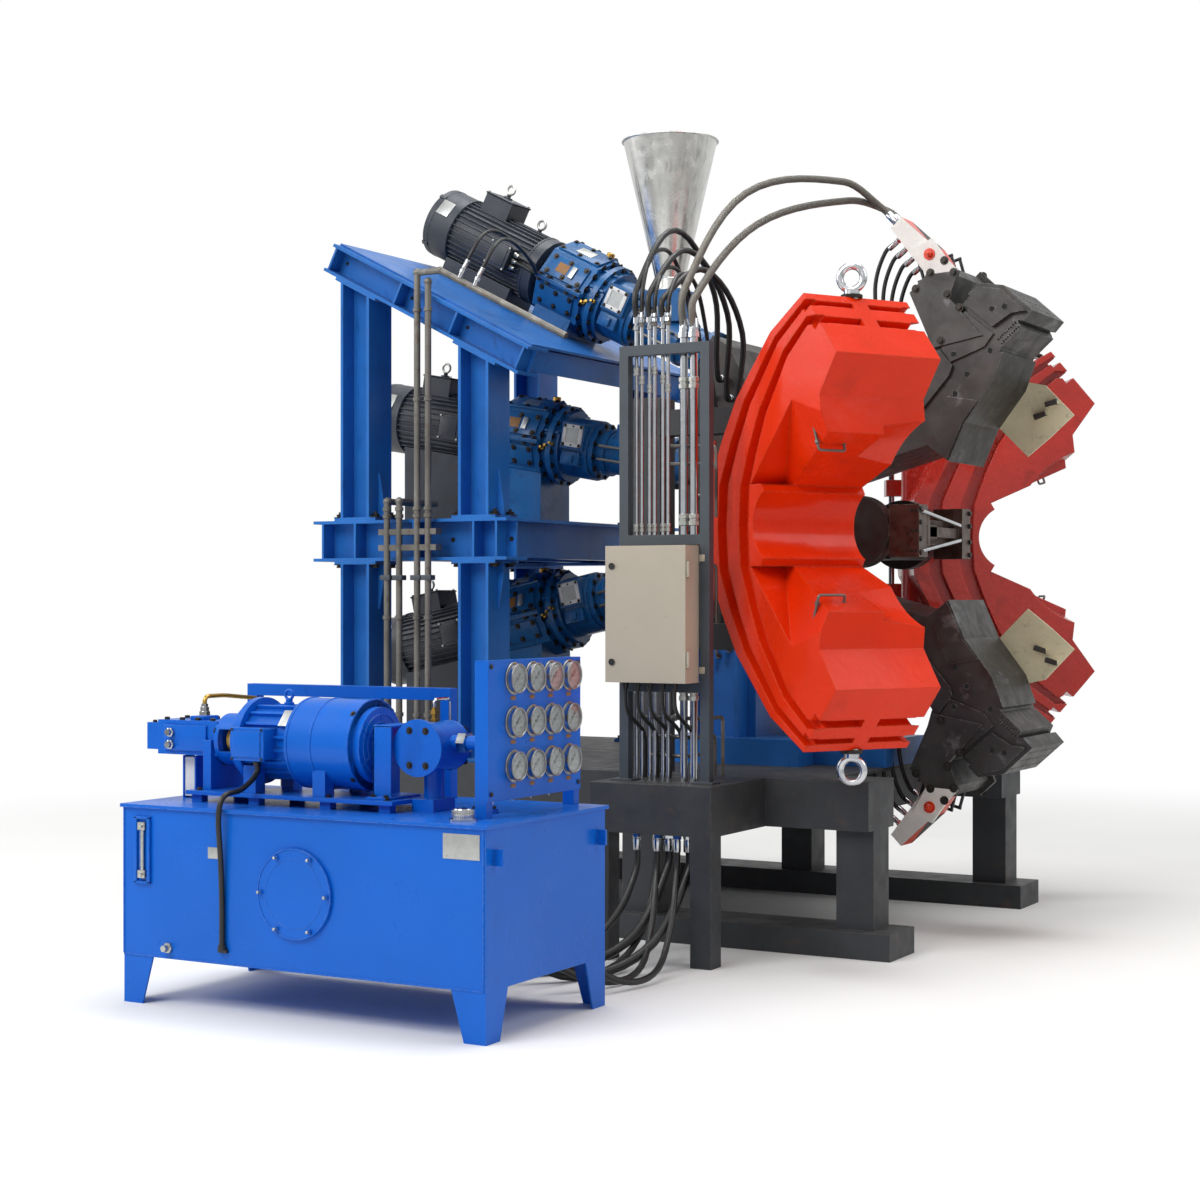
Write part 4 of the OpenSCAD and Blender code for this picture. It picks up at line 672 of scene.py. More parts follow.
class EXTRUDER_OT_tower(bpy.types.Operator):
    """Bolt the tower together and add its gussets, stiffeners and holes"""
    bl_idname = "extruder.tower"
    bl_label = "Tower fittings"

    def execute(self, context):
        across = sizes().tower_bolt / MM
        low, high = mm_box("deck_mid")
        deck_low, deck_high = low.z, high.z
        floor_top = mm_box("base_frame")[1].z
        # distance of the columns from the machine's middle plane
        row = 850
        bolts, plates, holes = Shape(), Shape(), Shape()
        # bolts through the columns' feet and the splice plates above and below the middle deck
        for column in COLUMNS:
            for side in (-1, 1):
                for dx, y in product((-112, 112), (row - 72, row + 72)):
                    at = (column + dx, side * y)
                    bolts.hexagon((*at, deck_high + 16), UP, across, 18)
                    bolts.rod((*at, deck_high + 16), (*at, deck_high + 46), 9, 8)
                    bolts.hexagon((*at, deck_low - 16), DOWN, across, 18)
                    bolts.hexagon((*at, floor_top + 16), UP, across, 18)
                # tapered gussets on the splice plates
                for z, up in ((deck_low - 16, -1), (deck_high + 16, 1)):
                    for dx in (-1, 1):
                        x0 = column + dx * 90
                        outline = [(0, 0), (dx * 38, 0), (dx * 38, up * 60), (dx * 8, up * 230),
                                   (0, up * 230)]
                        place = Matrix.Translation((x0, side * (row + 6), z)) \
                            @ Matrix.Rotation(math.pi / 2, 4, "X")
                        plates.prism(outline, place, 12)
        # round holes in the web of the middle deck's edge beams, drawn as thin near-black discs of painted
        # shade
        for side, x in product((-1, 1), (low.x + 28, -1300, -960, high.x - 28)):
            holes.rod((x, side * (row + 5), deck_low + 105), (x, side * (row + 5.8), deck_low + 105), 13, 16)
        # stiffeners, bolts and holes of the sloping deck; the holes are near-black discs of painted shade
        slope = Matrix.Translation((COLUMNS[0], 0, 3215)) @ Matrix.Rotation(math.radians(27), 4, "Y") \
            @ Matrix.Translation((-225, 0, 0))
        for shape in (plates, holes, bolts):
            shape.place = slope
        for side in (-1, 1):
            for x in (20, 480, 860, 1300):
                outer, web = side * (row + 92), side * (row + 8)
                plates.slab((x - 6, min(outer, web), 14), (x + 6, max(outer, web), 136), 1)
            for x in (60, 440, 520, 900, 1260):
                holes.rod((x, side * (row + 10), 75), (x, side * (row + 10.9), 75), 10, 16)
            for x in (130, 320, 945, 1135):
                bolts.hexagon((x, side * (row + 50), 0), DOWN, across, 18)
                bolts.rod((x, side * (row + 50), -36), (x, side * (row + 50), 0), 9, 8)
        piece("tower_plates", plates, "tower")
        piece("tower_bolts", bolts, "bolt")
        # the tower's holes: thin near-black discs of painted shade
        piece("tower_holes", holes, "dark")
        # weld beads where the columns meet their plates
        beads = Shape()
        r = sizes().weld / MM
        for column in COLUMNS:
            for side, z in product((-1, 1), (floor_top + 16, deck_low - 16, deck_high + 16)):
                for dx in (-90, 90):
                    beads.rod((column + dx, side * (row - 98), z), (column + dx, side * (row + 98), z), r, 6)
        piece("tower_welds", beads, "tower")
        return {"FINISHED"}


# each extruder by its screw's joint, with its level
EXTRUDERS = (("screw_top_spin", "top"), ("screw_mid_spin", "mid"), ("screw_low_spin", "low"))


class EXTRUDER_OT_motors(bpy.types.Operator):
    """Fin the drive motors and add their cowls, boxes and lifting eyes"""
    bl_idname = "extruder.motors"
    bl_label = "Motor fittings"

    def execute(self, context):
        tall = sizes().motor_fin / MM
        # stations of a motor, back from where its extruder docks on the head
        fan_end, fins_rear, fins_front, flange = -1985, -1812, -1300, -1230
        # radius of its frame, and its terminal boxes' faces above and on the near side
        frame_r, lid, side_lid = 172, 268, -250
        for joint, level in EXTRUDERS:
            place = along(joint)
            body, trim = Shape(), Shape()
            # fins, and the rolled bands round the frame and the cowl
            for _ in body.spin(place, sizes().fins, 0):
                body.slab((fins_rear, -2.5, frame_r - 4), (fins_front, 2.5, frame_r + tall), 1)
            for x, r in ((fins_rear - 12, 193), (fan_end + 26, 192), (fins_front + 8, 189),
                         (flange - 2, 189)):
                body.lathe([(0, r - 4), (3, r), (13, r), (16, r - 4)], (x, 0, 0), AHEAD, 48)
            # fan cowl: grille rings, spokes and the screws' ears
            for r in range(36, 180, 18):
                body.torus((fan_end + 4, 0, 0), AHEAD, r, 3, 40, 6)
            for _ in body.spin(place, 4):
                body.slab((fan_end + 1, -5, 30), (fan_end + 7, 5, 184))
                body.slab((fan_end, -12, 188), (fan_end + 40, 12, 196), 2)
            trim.place = place
            # lids of the terminal boxes, their screws and glands
            body.slab((-1746, -97, lid - 12), (-1554, 97, lid), 8)
            body.slab((-1488, side_lid, -68), (-1352, side_lid + 12, 68), 10)
            body.slab((-1470, side_lid - 4, -50), (-1370, side_lid + 2, 50), 4)
            for x, y in product((-1732, -1568), (-84, 84)):
                trim.hexagon((x, y, lid), UP, 12, 7, False)
            for x, z in product((-1480, -1360), (-60, 60)):
                trim.hexagon((x, side_lid, z), NEAR, 11, 6, False)
            for z in (-34, 0, 34):
                trim.lathe([(0, 15), (14, 15), (16, 12), (30, 12)], (-1352, -200, z), AHEAD, 12)
            # lifting eyes on the box and on the frame, and the bolts of the end shield
            for x, seat in ((-1660, lid), (-1390, frame_r)):
                body.lathe([(0, 26), (8, 26), (10, 12), (24, 12)], (x, 0, seat), UP, 16)
                trim.torus((x, 0, seat + 50), FAR, 24, 7, 24, 8)
            for _ in trim.spin(place, 8):
                trim.hexagon((flange, 0, 150), AHEAD, 22, 14)
            piece("motor_%s_fins" % level, body, "motor")
            piece("motor_%s_trim" % level, trim, "zinc")
            # blank plate on the fan cowl
            tag = Shape(place @ Matrix.Rotation(math.radians(62), 4, "X"))
            tag.slab((-1940, -45, 189.5), (-1860, 45, 191.5), 0.6)
            piece("motor_%s_tag" % level, tag, "tag")
        return {"FINISHED"}


class EXTRUDER_OT_gear_cases(bpy.types.Operator):
    """Cover, bolt and label the gear cases and fit their sight windows"""
    bl_idname = "extruder.gear_cases"
    bl_label = "Gear case fittings"

    def execute(self, context):
        half = sizes().window / MM / 2
        # distance of the covers' faces from the axis
        cover = 220
        for joint, level in EXTRUDERS:
            place = along(joint)
            plates, bolts, window, pane, brass, tag, label = (Shape(place) for _ in range(7))
            # bolted covers on the case's facets, with a blank plate, a label and an oil plug
            for angle, inset in ((22.5, 0), (-22.5, 0), (67.5, 12), (112.5, 20), (-67.5, 12)):
                plates.place = bolts.place = place @ Matrix.Rotation(math.radians(angle), 4, "X")
                plates.slab((-1145 + inset, -74 + inset, cover - 16), (-880 - inset, 74 - inset, cover), 4)
                for x, y in product((-1128 + inset, -1012, -897 - inset), (-58 + inset, 58 - inset)):
                    bolts.hexagon((x, y, cover), UP, 17, 9)
            tag.place = place @ Matrix.Rotation(math.radians(22.5), 4, "X")
            tag.slab((-1060, -34, cover), (-960, 34, cover + 2.5), 0.8)
            tag.place = label.place = place @ Matrix.Rotation(math.radians(67.5), 4, "X")
            label.slab((-1075, -28, cover), (-1005, 28, cover + 2), 0.6)
            tag.slab((-985, -34, cover), (-955, 34, cover + 12), 3)
            plates.place = bolts.place = tag.place = place
            # split line of the case with its ears
            plates.slab((-1162, -246, -12), (-858, 246, 12), 4)
            for x, side in product((-1135, -1075, -945, -885), (-1, 1)):
                bolts.hexagon((x, side * 234, 12), UP, 20, 13)
                bolts.hexagon((x, side * 234, -12), DOWN, 20, 13)
            # bolt circles of the case's and the housing's flanges
            for x, r, count, across in ((-860, 205, 16, 20), (-790, 203, 16, 16), (-600, 138, 12, 16)):
                for _ in bolts.spin(place, count):
                    bolts.hexagon((x, 0, r), AHEAD, across, 11)
            # breather, oil fittings and their pipes
            brass.lathe([(0, 14), (10, 14), (12, 22), (34, 22), (38, 16)], (-920, 0, 214), UP, 12)
            for k in range(3):
                brass.lathe([(0, 9), (16, 9), (18, 12), (30, 12), (32, 7), (52, 7)],
                            (-842 + 26 * k, -182, -30 + 14 * k), (0, -1, 0.15), 10)
            # window: frame, pane and screws on the thrust housing's box
            x, front, z, bar_wide = -680, -192, 60, 20
            inner = half - bar_wide
            for lo, hi in (((-half, -half), (half, -inner)), ((-half, inner), (half, half)),
                           ((-half, -half), (-inner, half)), ((inner, -half), (half, half))):
                window.slab((x + lo[0], front, z + lo[1]), (x + hi[0], front + 8, z + hi[1]), 1.5)
            pane.slab((x - inner - 2, front + 4, z - inner - 2), (x + inner + 2, front + 6, z + inner + 2))
            for dx, dz in product((-1, 0, 1), (-1, 1)):
                bolts.lathe([(0, 5), (2, 5), (4, 3)], (x + dx * (half - 10), front, z + dz * (half - 10)),
                            NEAR, 10)
            # side boxes and ribs of the thrust housing
            plates.slab((-742, -178, -96), (-628, -92, -24), 8)
            plates.slab((-700, -196, -84), (-660, -170, -40), 5)
            for k in range(5):
                plates.place = place @ Matrix.Rotation(math.radians(-70 + 35 * k), 4, "X")
                plates.slab((-856, -6, 186), (-764, 6, 204), 2)
            plates.place = place
            for name, shape, finish in (("plates", plates, "case"), ("bolts", bolts, "bolt"),
                                        ("window", window, "white"), ("pane", pane, "tag"),
                                        ("fittings", brass, "brass"), ("tag", tag, "tag"),
                                        ("label", label, "amber")):
                piece("gearbox_%s_%s" % (level, name), shape, finish)
        return {"FINISHED"}


class EXTRUDER_OT_barrels(bpy.types.Operator):
    """Pipe the barrels' jackets and finish the hopper"""
    bl_idname = "extruder.barrels"
    bl_label = "Barrel and hopper fittings"

    def execute(self, context):
        bolts, pipes, jackets = Shape(), Shape(), Shape()
        for joint, _ in EXTRUDERS:
            place = along(joint)
            # bolts of the barrel's flanges, the jacket's pipes and its bands
            for x, r, n, axis in ((-570, 138, 12, AHEAD), (-120, 124, 10, AHEAD), (-32, 106, 8, BEHIND)):
                for _ in bolts.spin(place, n):
                    bolts.hexagon((x, 0, r), axis, 17, 10)
            pipes.place = jackets.place = place
            for z in (-40, 30):
                for rear, front, out, end in ((-540, -330, -150, -112), (-300, -165, -146, -108)):
                    pipe_run(pipes, [(rear, -118, z), (rear, out, z), (front, out, z), (front, end, z)],
                             8, 20, 8)
            for x in (-500, -420, -230, -180):
                jackets.lathe([(0, 109), (2, 113), (8, 113), (10, 109)], (x, 0, 0), AHEAD, 40)
        piece("barrel_bolts", bolts, "bolt")
        piece("barrel_pipes", pipes, "pipe")
        piece("barrel_jackets", jackets, "case")
        low, high = mm_box("feed_hopper")
        centre = (low + high) / 2
        radius = (high.x - low.x) / 2
        # rolled rims at the top of the cone and at its foot
        rim = Shape()
        rim.torus((centre.x, centre.y, high.z - 5), UP, radius - 2, 4.5, 72, 8)
        rim.torus((centre.x, centre.y, low.z + 62), UP, 79, 3, 40, 6)
        # lap seams up the cone, and the bolts of its foot
        for angle in (-2.2, 1.0):
            rim.rod((centre.x + 78.5 * math.cos(angle), centre.y + 78.5 * math.sin(angle), low.z + 62),
                    (centre.x + 245 * math.cos(angle), centre.y + 245 * math.sin(angle), high.z - 8), 2, 6)
        for x, y in circle(4, 90, 0.5, centre):
            rim.hexagon((x, y, low.z + 10), UP, 13, 8)
        piece("hopper_rim", rim, "hopper")
        return {"FINISHED"}


class EXTRUDER_OT_pipes(bpy.types.Operator):
    """Join and clip the riser pipes, the rack's tubes and their ferrules"""
    bl_idname = "extruder.pipes"
    bl_label = "Pipe fittings"

    def execute(self, context):
        sleeves, ferrules, unions, clips, lines = (Shape() for _ in range(5))
        deck_top = mm_box("deck_mid")[1].z
        for x, top in ((-1266, 2100), (-1191, 2100), (-1081, 3250), (-1015, 3200)):
            # sleeves where a riser's lengths join, and the clips that hold it
            for z in (1010, 1500, deck_top + 4, deck_top + 40, 2600, 3050):
                if z < top - 20:
                    sleeves.lathe([(0, 17), (2, 22), (20, 22), (22, 17)], (x, RISER_Y, z), UP, 20)
            sleeves.torus((x, RISER_Y, top), FAR, 19, 3, 20, 6)
            for z in (940, 1700):
                clips.slab((x - 30, RISER_Y - 22, z), (x + 30, RISER_Y + 22, z + 26), 4)
        clips.slab((-1310, -978, 940), (-970, -952, 962), 2)
        top = mm_box("rack_pipes")[1].z
        length = sizes().ferrule / MM
        # every other thin tube has a ferrule, the rest bend over behind it
        thin = (405, 432, 472, 498, 540, 566)
        for i, x in enumerate(thin):
            if i % 2 == 0:
                ferrules.lathe([(0, 9), (1, 16), (length * 0.6, 16), (length * 0.62, 14), (length, 13.2)],
                               (x, RACK_Y, top - 2), UP, 20)
                ferrules.lathe([(0, 9), (3, 13), (22, 13), (25, 9)], (x, RACK_Y, top - 34), UP, 6)
            else:
                lines.lathe([(0, 9), (2, 12), (18, 12), (20, 9)], (x, RACK_Y, top - 20), UP, 6)
                pipe_run(lines, [(x, RACK_Y, top - 4), (x, RACK_Y, top + 40), (x - 26, RACK_Y, top + 62),
                                 (x - 26, -1395, top + 20)], 7, 16, 8)
            for z in (2610 - 40 * (i % 3), 1905, 1180 + 30 * (i % 2)):
                unions.lathe([(0, 9), (2, 13), (16, 13), (17, 10), (22, 10), (23, 13), (37, 13), (39, 9)],
                             (x, RACK_Y, z), UP, 6)
        for x in (640, 690):
            ferrules.lathe([(0, 18), (2, 25), (26, 25), (28, 21), (60, 21), (62, 19)],
                           (x, CONDUIT_Y, top - 80), UP, 8)
            for z in (2540, 1930, 1150):
                unions.lathe([(0, 18), (3, 24), (22, 24), (24, 20), (32, 20), (34, 24), (52, 24), (55, 18)],
                             (x, CONDUIT_Y, z), UP, 8)
        # flat clips across the tubes, and their screws
        flat = RACK_Y - 14
        for z in (1203, 1858, 2705):
            clips.slab((388, flat - 6, z), (712, flat, z + 22), 1.5)
            for x in thin[::2]:
                clips.lathe([(0, 8), (6, 8)], (x + 14, flat, z + 11), FAR, 6)
        # cross lines and unions behind the rack
        behind, back = RACK_Y + 45, -1180
        for i, z in enumerate((900, 985, 1070)):
            x = 640 + 40 * i
            pipe_run(lines, [(400, behind, z), (x, behind, z), (x, back, z), (x, back, 800)], 9, 26, 8)
            unions.lathe([(0, 9), (2, 15), (24, 15), (26, 9)], (500 + 30 * i, behind, z), AHEAD, 6)
        for z in (2210, 2290, 1760):
            pipe_run(lines, [(566, -1400, z), (700, -1330, z), (760, -1330, z), (760, -1330, z - 240)],
                     8, 26, 8)
        piece("pipe_sleeves", sleeves, "pipe")
        piece("rack_ferrules", ferrules, "chrome")
        piece("rack_unions", unions, "zinc")
        piece("pipe_clips", clips, "rack")
        piece("rack_cross_lines", lines, "pipe")
        return {"FINISHED"}


class EXTRUDER_OT_cabinet(bpy.types.Operator):
    """Trim the terminal cabinet"""
    bl_idname = "extruder.cabinet"
    bl_label = "Cabinet trim"

    def execute(self, context):
        low, high = mm_box("cabinet_box")
        door_low = mm_box("cabinet_door")[0]
        glands, ears, plates = Shape(), Shape(), Shape()
        # glands under the box, each with its cable down behind the rack
        for k in range(5):
            x = low.x + 60 + 62 * k
            glands.lathe([(0, 20), (3, 20), (5, 16), (18, 16), (20, 13), (34, 13)], (x, low.y + 70, low.z),
                         DOWN, 12)
            pipe_run(glands, [(x, low.y + 70, low.z - 30), (x, low.y + 70, low.z - 130),
                              (x + 30, -1400, low.z - 230), (x + 30, -1400, 800)], 9, 50, 8)
        # ears that hold the box to the rack
        for z, x in product((low.z + 40, high.z - 70), (low.x - 16, high.x - 12)):
            ears.slab((x, high.y - 4, z), (x + 28, high.y, z + 30), 2)
        # rosettes under the locks
        for joint in ("lock_lower_turn", "lock_upper_turn"):
            at = Vector(JOINTS[joint]["pos_m"]) / MM
            plates.lathe([(0, 17), (1.6, 17), (2, 16)], (at.x, door_low.y - 0.1, at.z), NEAR, 24)
        # folded lips down both sides of the door, short of its hinge knuckles
        hinge_side = 749
        for x in (door_low.x + 0.5, hinge_side):
            plates.slab((x - 0.5, door_low.y + 3, door_low.z + 3),
                        (x + 0.5, door_low.y + 17, door_low.z + 600), 0.3)
        piece("cabinet_glands", glands, "plastic")
        piece("cabinet_ears", ears, "cabinet")
        piece("cabinet_door_trim", plates, "cabinet", body="door")
        return {"FINISHED"}


# ---------------------------------------------------------------- hoses and cables
# millimetres: top and foot of the rack's tubes, near side of the head and back of the tank
RACK_TOP, RACK_FOOT, HEAD_SIDE, TANK_BACK = 2848.3, 569.5, -340.3, -2519.7
# stiff hoses in arches from the rack's tubes over to the head
ARCHES = (
    ((405, RACK_Y, RACK_TOP), (405, RACK_Y, 3000), (425, -1080, 3320), (410, -640, 3080),
     (330, -440, 2700), (330, HEAD_SIDE, 2700)),
    ((472, RACK_Y, RACK_TOP), (472, RACK_Y, 2980), (495, -1080, 3220), (480, -640, 2980),
     (380, -440, 2600), (380, HEAD_SIDE, 2600)),
    ((540, RACK_Y, RACK_TOP), (540, RACK_Y, 2950), (585, -1080, 3120), (560, -640, 2880),
     (430, -440, 2500), (430, HEAD_SIDE, 2500)),
)
# thick hoses from under the rack down to the tank
FLOOR_HOSES = (
    ((640, -1560, RACK_FOOT), (640, -1560, 430), (560, -1800, 120), (300, -2120, 30), (60, -2400, 240),
     (60, TANK_BACK, 240)),
    ((740, -1560, RACK_FOOT), (740, -1560, 410), (680, -1860, 100), (460, -2180, 30), (260, -2400, 260),
     (260, TANK_BACK, 260)),
)
# braided conduits from the rack up to the upper jaw
CONDUITS = (
    ((640, CONDUIT_Y, 2780.3), (640, CONDUIT_Y, 2980), (760, -1020, 3470), (1000, -440, 3600),
     (1113, -215, 3495), (1190.8, -215, 3417.2)),
    ((690, CONDUIT_Y, 2780.3), (690, CONDUIT_Y, 2940), (800, -980, 3330), (1000, -380, 3520),
     (1113, -135, 3495), (1190.8, -135, 3417.2)),
)
# slack hoses from under the rack to the back of the tank, lying on the floor between
SLACK_HOSES = (
    ((450, -1500, RACK_FOOT), (450, -1510, 400), (420, -1660, 190), (290, -1900, 50), (80, -2160, 22),
     (-120, -2380, 100), (-180, TANK_BACK, 250)),
    ((500, -1590, RACK_FOOT), (500, -1602, 400), (460, -1770, 190), (340, -2010, 46), (160, -2240, 30),
     (10, -2420, 160), (-40, TANK_BACK, 340)),
    ((560, -1520, RACK_FOOT), (560, -1528, 400), (580, -1700, 150), (560, -1960, 30), (480, -2220, 60),
     (400, -2410, 210), (380, TANK_BACK, 400)),
    ((600, -1590, RACK_FOOT), (604, -1602, 400), (660, -1760, 180), (720, -1990, 40), (680, -2230, 30),
     (560, -2420, 130), (500, TANK_BACK, 300)),
    ((700, -1590, RACK_FOOT), (704, -1604, 400), (760, -1780, 170), (810, -2020, 40), (770, -2260, 50),
     (670, -2430, 190), (620, TANK_BACK, 380)),
)
# thin hoses from the rack's pipes over to the head
THIN_HOSES = (
    ((432, RACK_Y, RACK_TOP), (432, -1410, 3010), (405, -1270, 3180), (370, -1010, 3220),
     (320, -740, 3020), (270, -520, 2700), (262, HEAD_SIDE, 2600)),
    ((498, RACK_Y, RACK_TOP), (498, -1410, 2980), (470, -1270, 3110), (430, -1030, 3120),
     (370, -750, 2930), (318, -520, 2610), (310, HEAD_SIDE, 2500)),
    ((566, RACK_Y, RACK_TOP), (566, -1408, 2960), (540, -1260, 3080), (500, -1020, 3070),
     (430, -760, 2860), (368, -520, 2510), (360, HEAD_SIDE, 2400)),
)
# hoses from the top motor's side box to the sloping riser pipe
MOTOR_HOSES = (
    ((-978.5, -200, 3437.1), (-925, -203, 3409), (-862, -236, 3380), (-810, -330, 3372),
     (-776, -490, 3410), (-752, -670, 3450), (-738, -830, 3458), (-738, -940, 3410), (-768, -992, 3313),
     (-811.4, -1000, 3228.8)),
    ((-993.8, -200, 3406.8), (-940, -203, 3379), (-872, -232, 3344), (-800, -310, 3322),
     (-742, -450, 3350), (-700, -640, 3400), (-664, -830, 3410), (-652, -940, 3362), (-679, -992, 3268),
     (-722.4, -1000, 3183.5)),
)
# cable from the pump motor's box down the tank
MOTOR_CABLE = ((-325, -3210, 974.7), (-325, -3210, 920), (-330, -3300, 860), (-335, -3400, 840),
               (-340, -3424, 770), (-340, -3412, 600), (-340, -3404, 430), (-340, -3404, 250))


def ferrule(shape, route, radius, first=False):
    """A crimped ferrule and its nut at the last point of a route, or at the first."""
    end, before = (route[0], route[1]) if first else (route[-1], route[-2])
    back = Vector(before) - Vector(end)
    shape.lathe([(0.2, radius + 5), (16, radius + 5), (18, radius + 1)], end, back, 6)
    shape.lathe([(16, radius + 1), (22, radius + 1), (24, radius + 3.5), (70, radius + 3), (74, radius)],
                end, back, 20)


class EXTRUDER_OT_hoses(bpy.types.Operator):
    """Lay the hydraulic hoses, the braided conduits and the motor's cable"""
    bl_idname = "extruder.hoses"
    bl_label = "Hoses and cables"

    def execute(self, context):
        ends = Shape()
        for name, routes, radius, node, lay, both in (
                ("arch_hose", ARCHES, 14, "hose_arches", "hanging", False),
                ("floor_hose", FLOOR_HOSES, 20, "hose_arches", "hanging", True),
                ("slack_hose", SLACK_HOSES, 14, None, "loose", True),
                ("thin_hose", THIN_HOSES, 10, None, "hanging", True),
                ("top_motor_hose", MOTOR_HOSES, 9, None, "hanging", False)):
            for i, route in enumerate(routes):
                cord("%s_%d" % (name, i + 1), route, radius, "hose", node, lay)
                ferrule(ends, route, radius)
                if both:
                    ferrule(ends, route, radius, first=True)
        # studs that take the top motor's hoses down to the sloping riser pipe
        to_riser = (-0.454, 0, -0.891)
        for route in MOTOR_HOSES:
            ends.lathe([(0, 12), (30, 12), (32, 10)], route[-1], to_riser, 16)
        # the braided conduits stay in the machine's frame, and their last ferrules ride on the upper jaw
        moving = Shape()
        for i, route in enumerate(CONDUITS):
            made = cord("braided_conduit_%d" % (i + 1), route, 17, "braid", "braided_conduits", body=None)
            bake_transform(made)
            ferrule(moving, route, 17)
            ferrule(ends, route, 17, first=True)
        piece("jaw_hose_ferrules", moving, "chrome", "upper_jaw")
        cord("pump_motor_cable", MOTOR_CABLE, 11, "hose", "motor_cable")
        piece("hose_ferrules", ends, "chrome")
        gland = Shape()
        gland.lathe([(0, 17), (12, 17), (14, 14), (26, 13), (30, 11.4)], MOTOR_CABLE[0], DOWN, 12)
        gland.lathe([(0, 17), (12, 17), (14, 14), (24, 11.4)], MOTOR_CABLE[-1], UP, 12)
        gland.slab((-362, -3404, 236), (-318, -3390, 250), 2)
        piece("motor_cable_gland", gland, "plastic")
        return {"FINISHED"}


# ---------------------------------------------------------------- head
def bar(shape, a, b, wide, thick, bevel=2):
    """A flat bar from a to b."""
    a, b = Vector(a), Vector(b)
    kept, shape.place = shape.place, shape.place @ Matrix.Translation(a) @ turned(b - a, AHEAD)
    shape.slab((-wide / 2, -thick / 2, 0), (wide / 2, thick / 2, (b - a).length), bevel)
    shape.place = kept


class EXTRUDER_OT_head(bpy.types.Operator):
    """Fit the die cassette's bars and bolts and the head's oil lines"""
    bl_idname = "extruder.head"
    bl_label = "Head fittings"

    def execute(self, context):
        low, high = mm_box("die_cassette")
        face, middle = high.x, (low.z + high.z) / 2
        # half the head's width, and how far the oil lines stand off it
        half_width, off = 340, 32
        bars, steps, bolts, lines = Shape(), Shape(), Shape(), Shape()
        # two flat bars across the cassette's face
        bar(bars, (face + 3, -330, middle + 92), (face + 3, 190, middle + 38), 15, 24)
        bar(bars, (face + 3, -330, middle - 96), (face + 3, 190, middle - 34), 15, 24)
        # the web steps down towards the far end
        for y0, y1, half, out in ((-250, -215, 74, 2), (-215, -175, 52, -12), (-175, -60, 34, -20),
                                  (-60, 210, 26, -26)):
            steps.slab((face - 62, y0, middle - half), (face + out, y1, middle + half), 2)
        # socket screws of the cassette's face and ends
        for side in (-1, 1):
            for z in (-104, -40, 40, 104):
                bolts.lathe([(0, 12), (9, 12), (11, 10)], (face, side * 344, middle + z), AHEAD, 16)
            for x, z in product((face - 36, face - 12), (-96, 0, 96)):
                bolts.lathe([(0, 8), (5, 8), (6, 6)], (x, side * 358, middle + z), (0, side, 0), 12)
        # bolts round the inlets of the three extruders
        for joint, _ in EXTRUDERS:
            bolts.place = along(joint)
            for y, z in circle(12, 106, math.pi / 12):
                bolts.hexagon((-30, y, z), BEHIND, 16, 10)
        bolts.place = Matrix.Identity(4)
        # socket screws of the head's side plates
        for side in (-1, 1):
            for x, z in ((110, 1480), (450, 1480), (110, 2480), (450, 2300), (110, 2200), (110, 1700),
                         (110, 1930)):
                bolts.lathe([(0, 19), (14, 19), (17, 15)], (x, side * half_width, z), (0, side, 0), 18)
                bolts.lathe([(14, 9), (17.5, 9)], (x, side * half_width, z), (0, side, 0), 6)
        # heating water and oil lines down the near side
        for i, x in enumerate((180, 230, 290, 350)):
            top, foot, y = 2120 - 70 * i, 1290 + 30 * i, -half_width - off
            pipe_run(lines, [(x, -half_width - 1, top), (x, y, top), (x, y, top - 330),
                             (x + 60, y, top - 380), (x + 60, y, foot), (x + 60, -half_width - 1, foot)],
                     8, 24, 8)
            for at in ((x, -half_width - 0.5, top), (x + 60, -half_width - 0.5, foot)):
                lines.lathe([(0, 14), (16, 14), (18, 9)], at, NEAR, 6)
        piece("cassette_bars", bars, "bright")
        piece("cassette_steps", steps, "cassette")
        piece("head_bolts", bolts, "bolt")
        piece("head_lines", lines, "pipe")
        return {"FINISHED"}


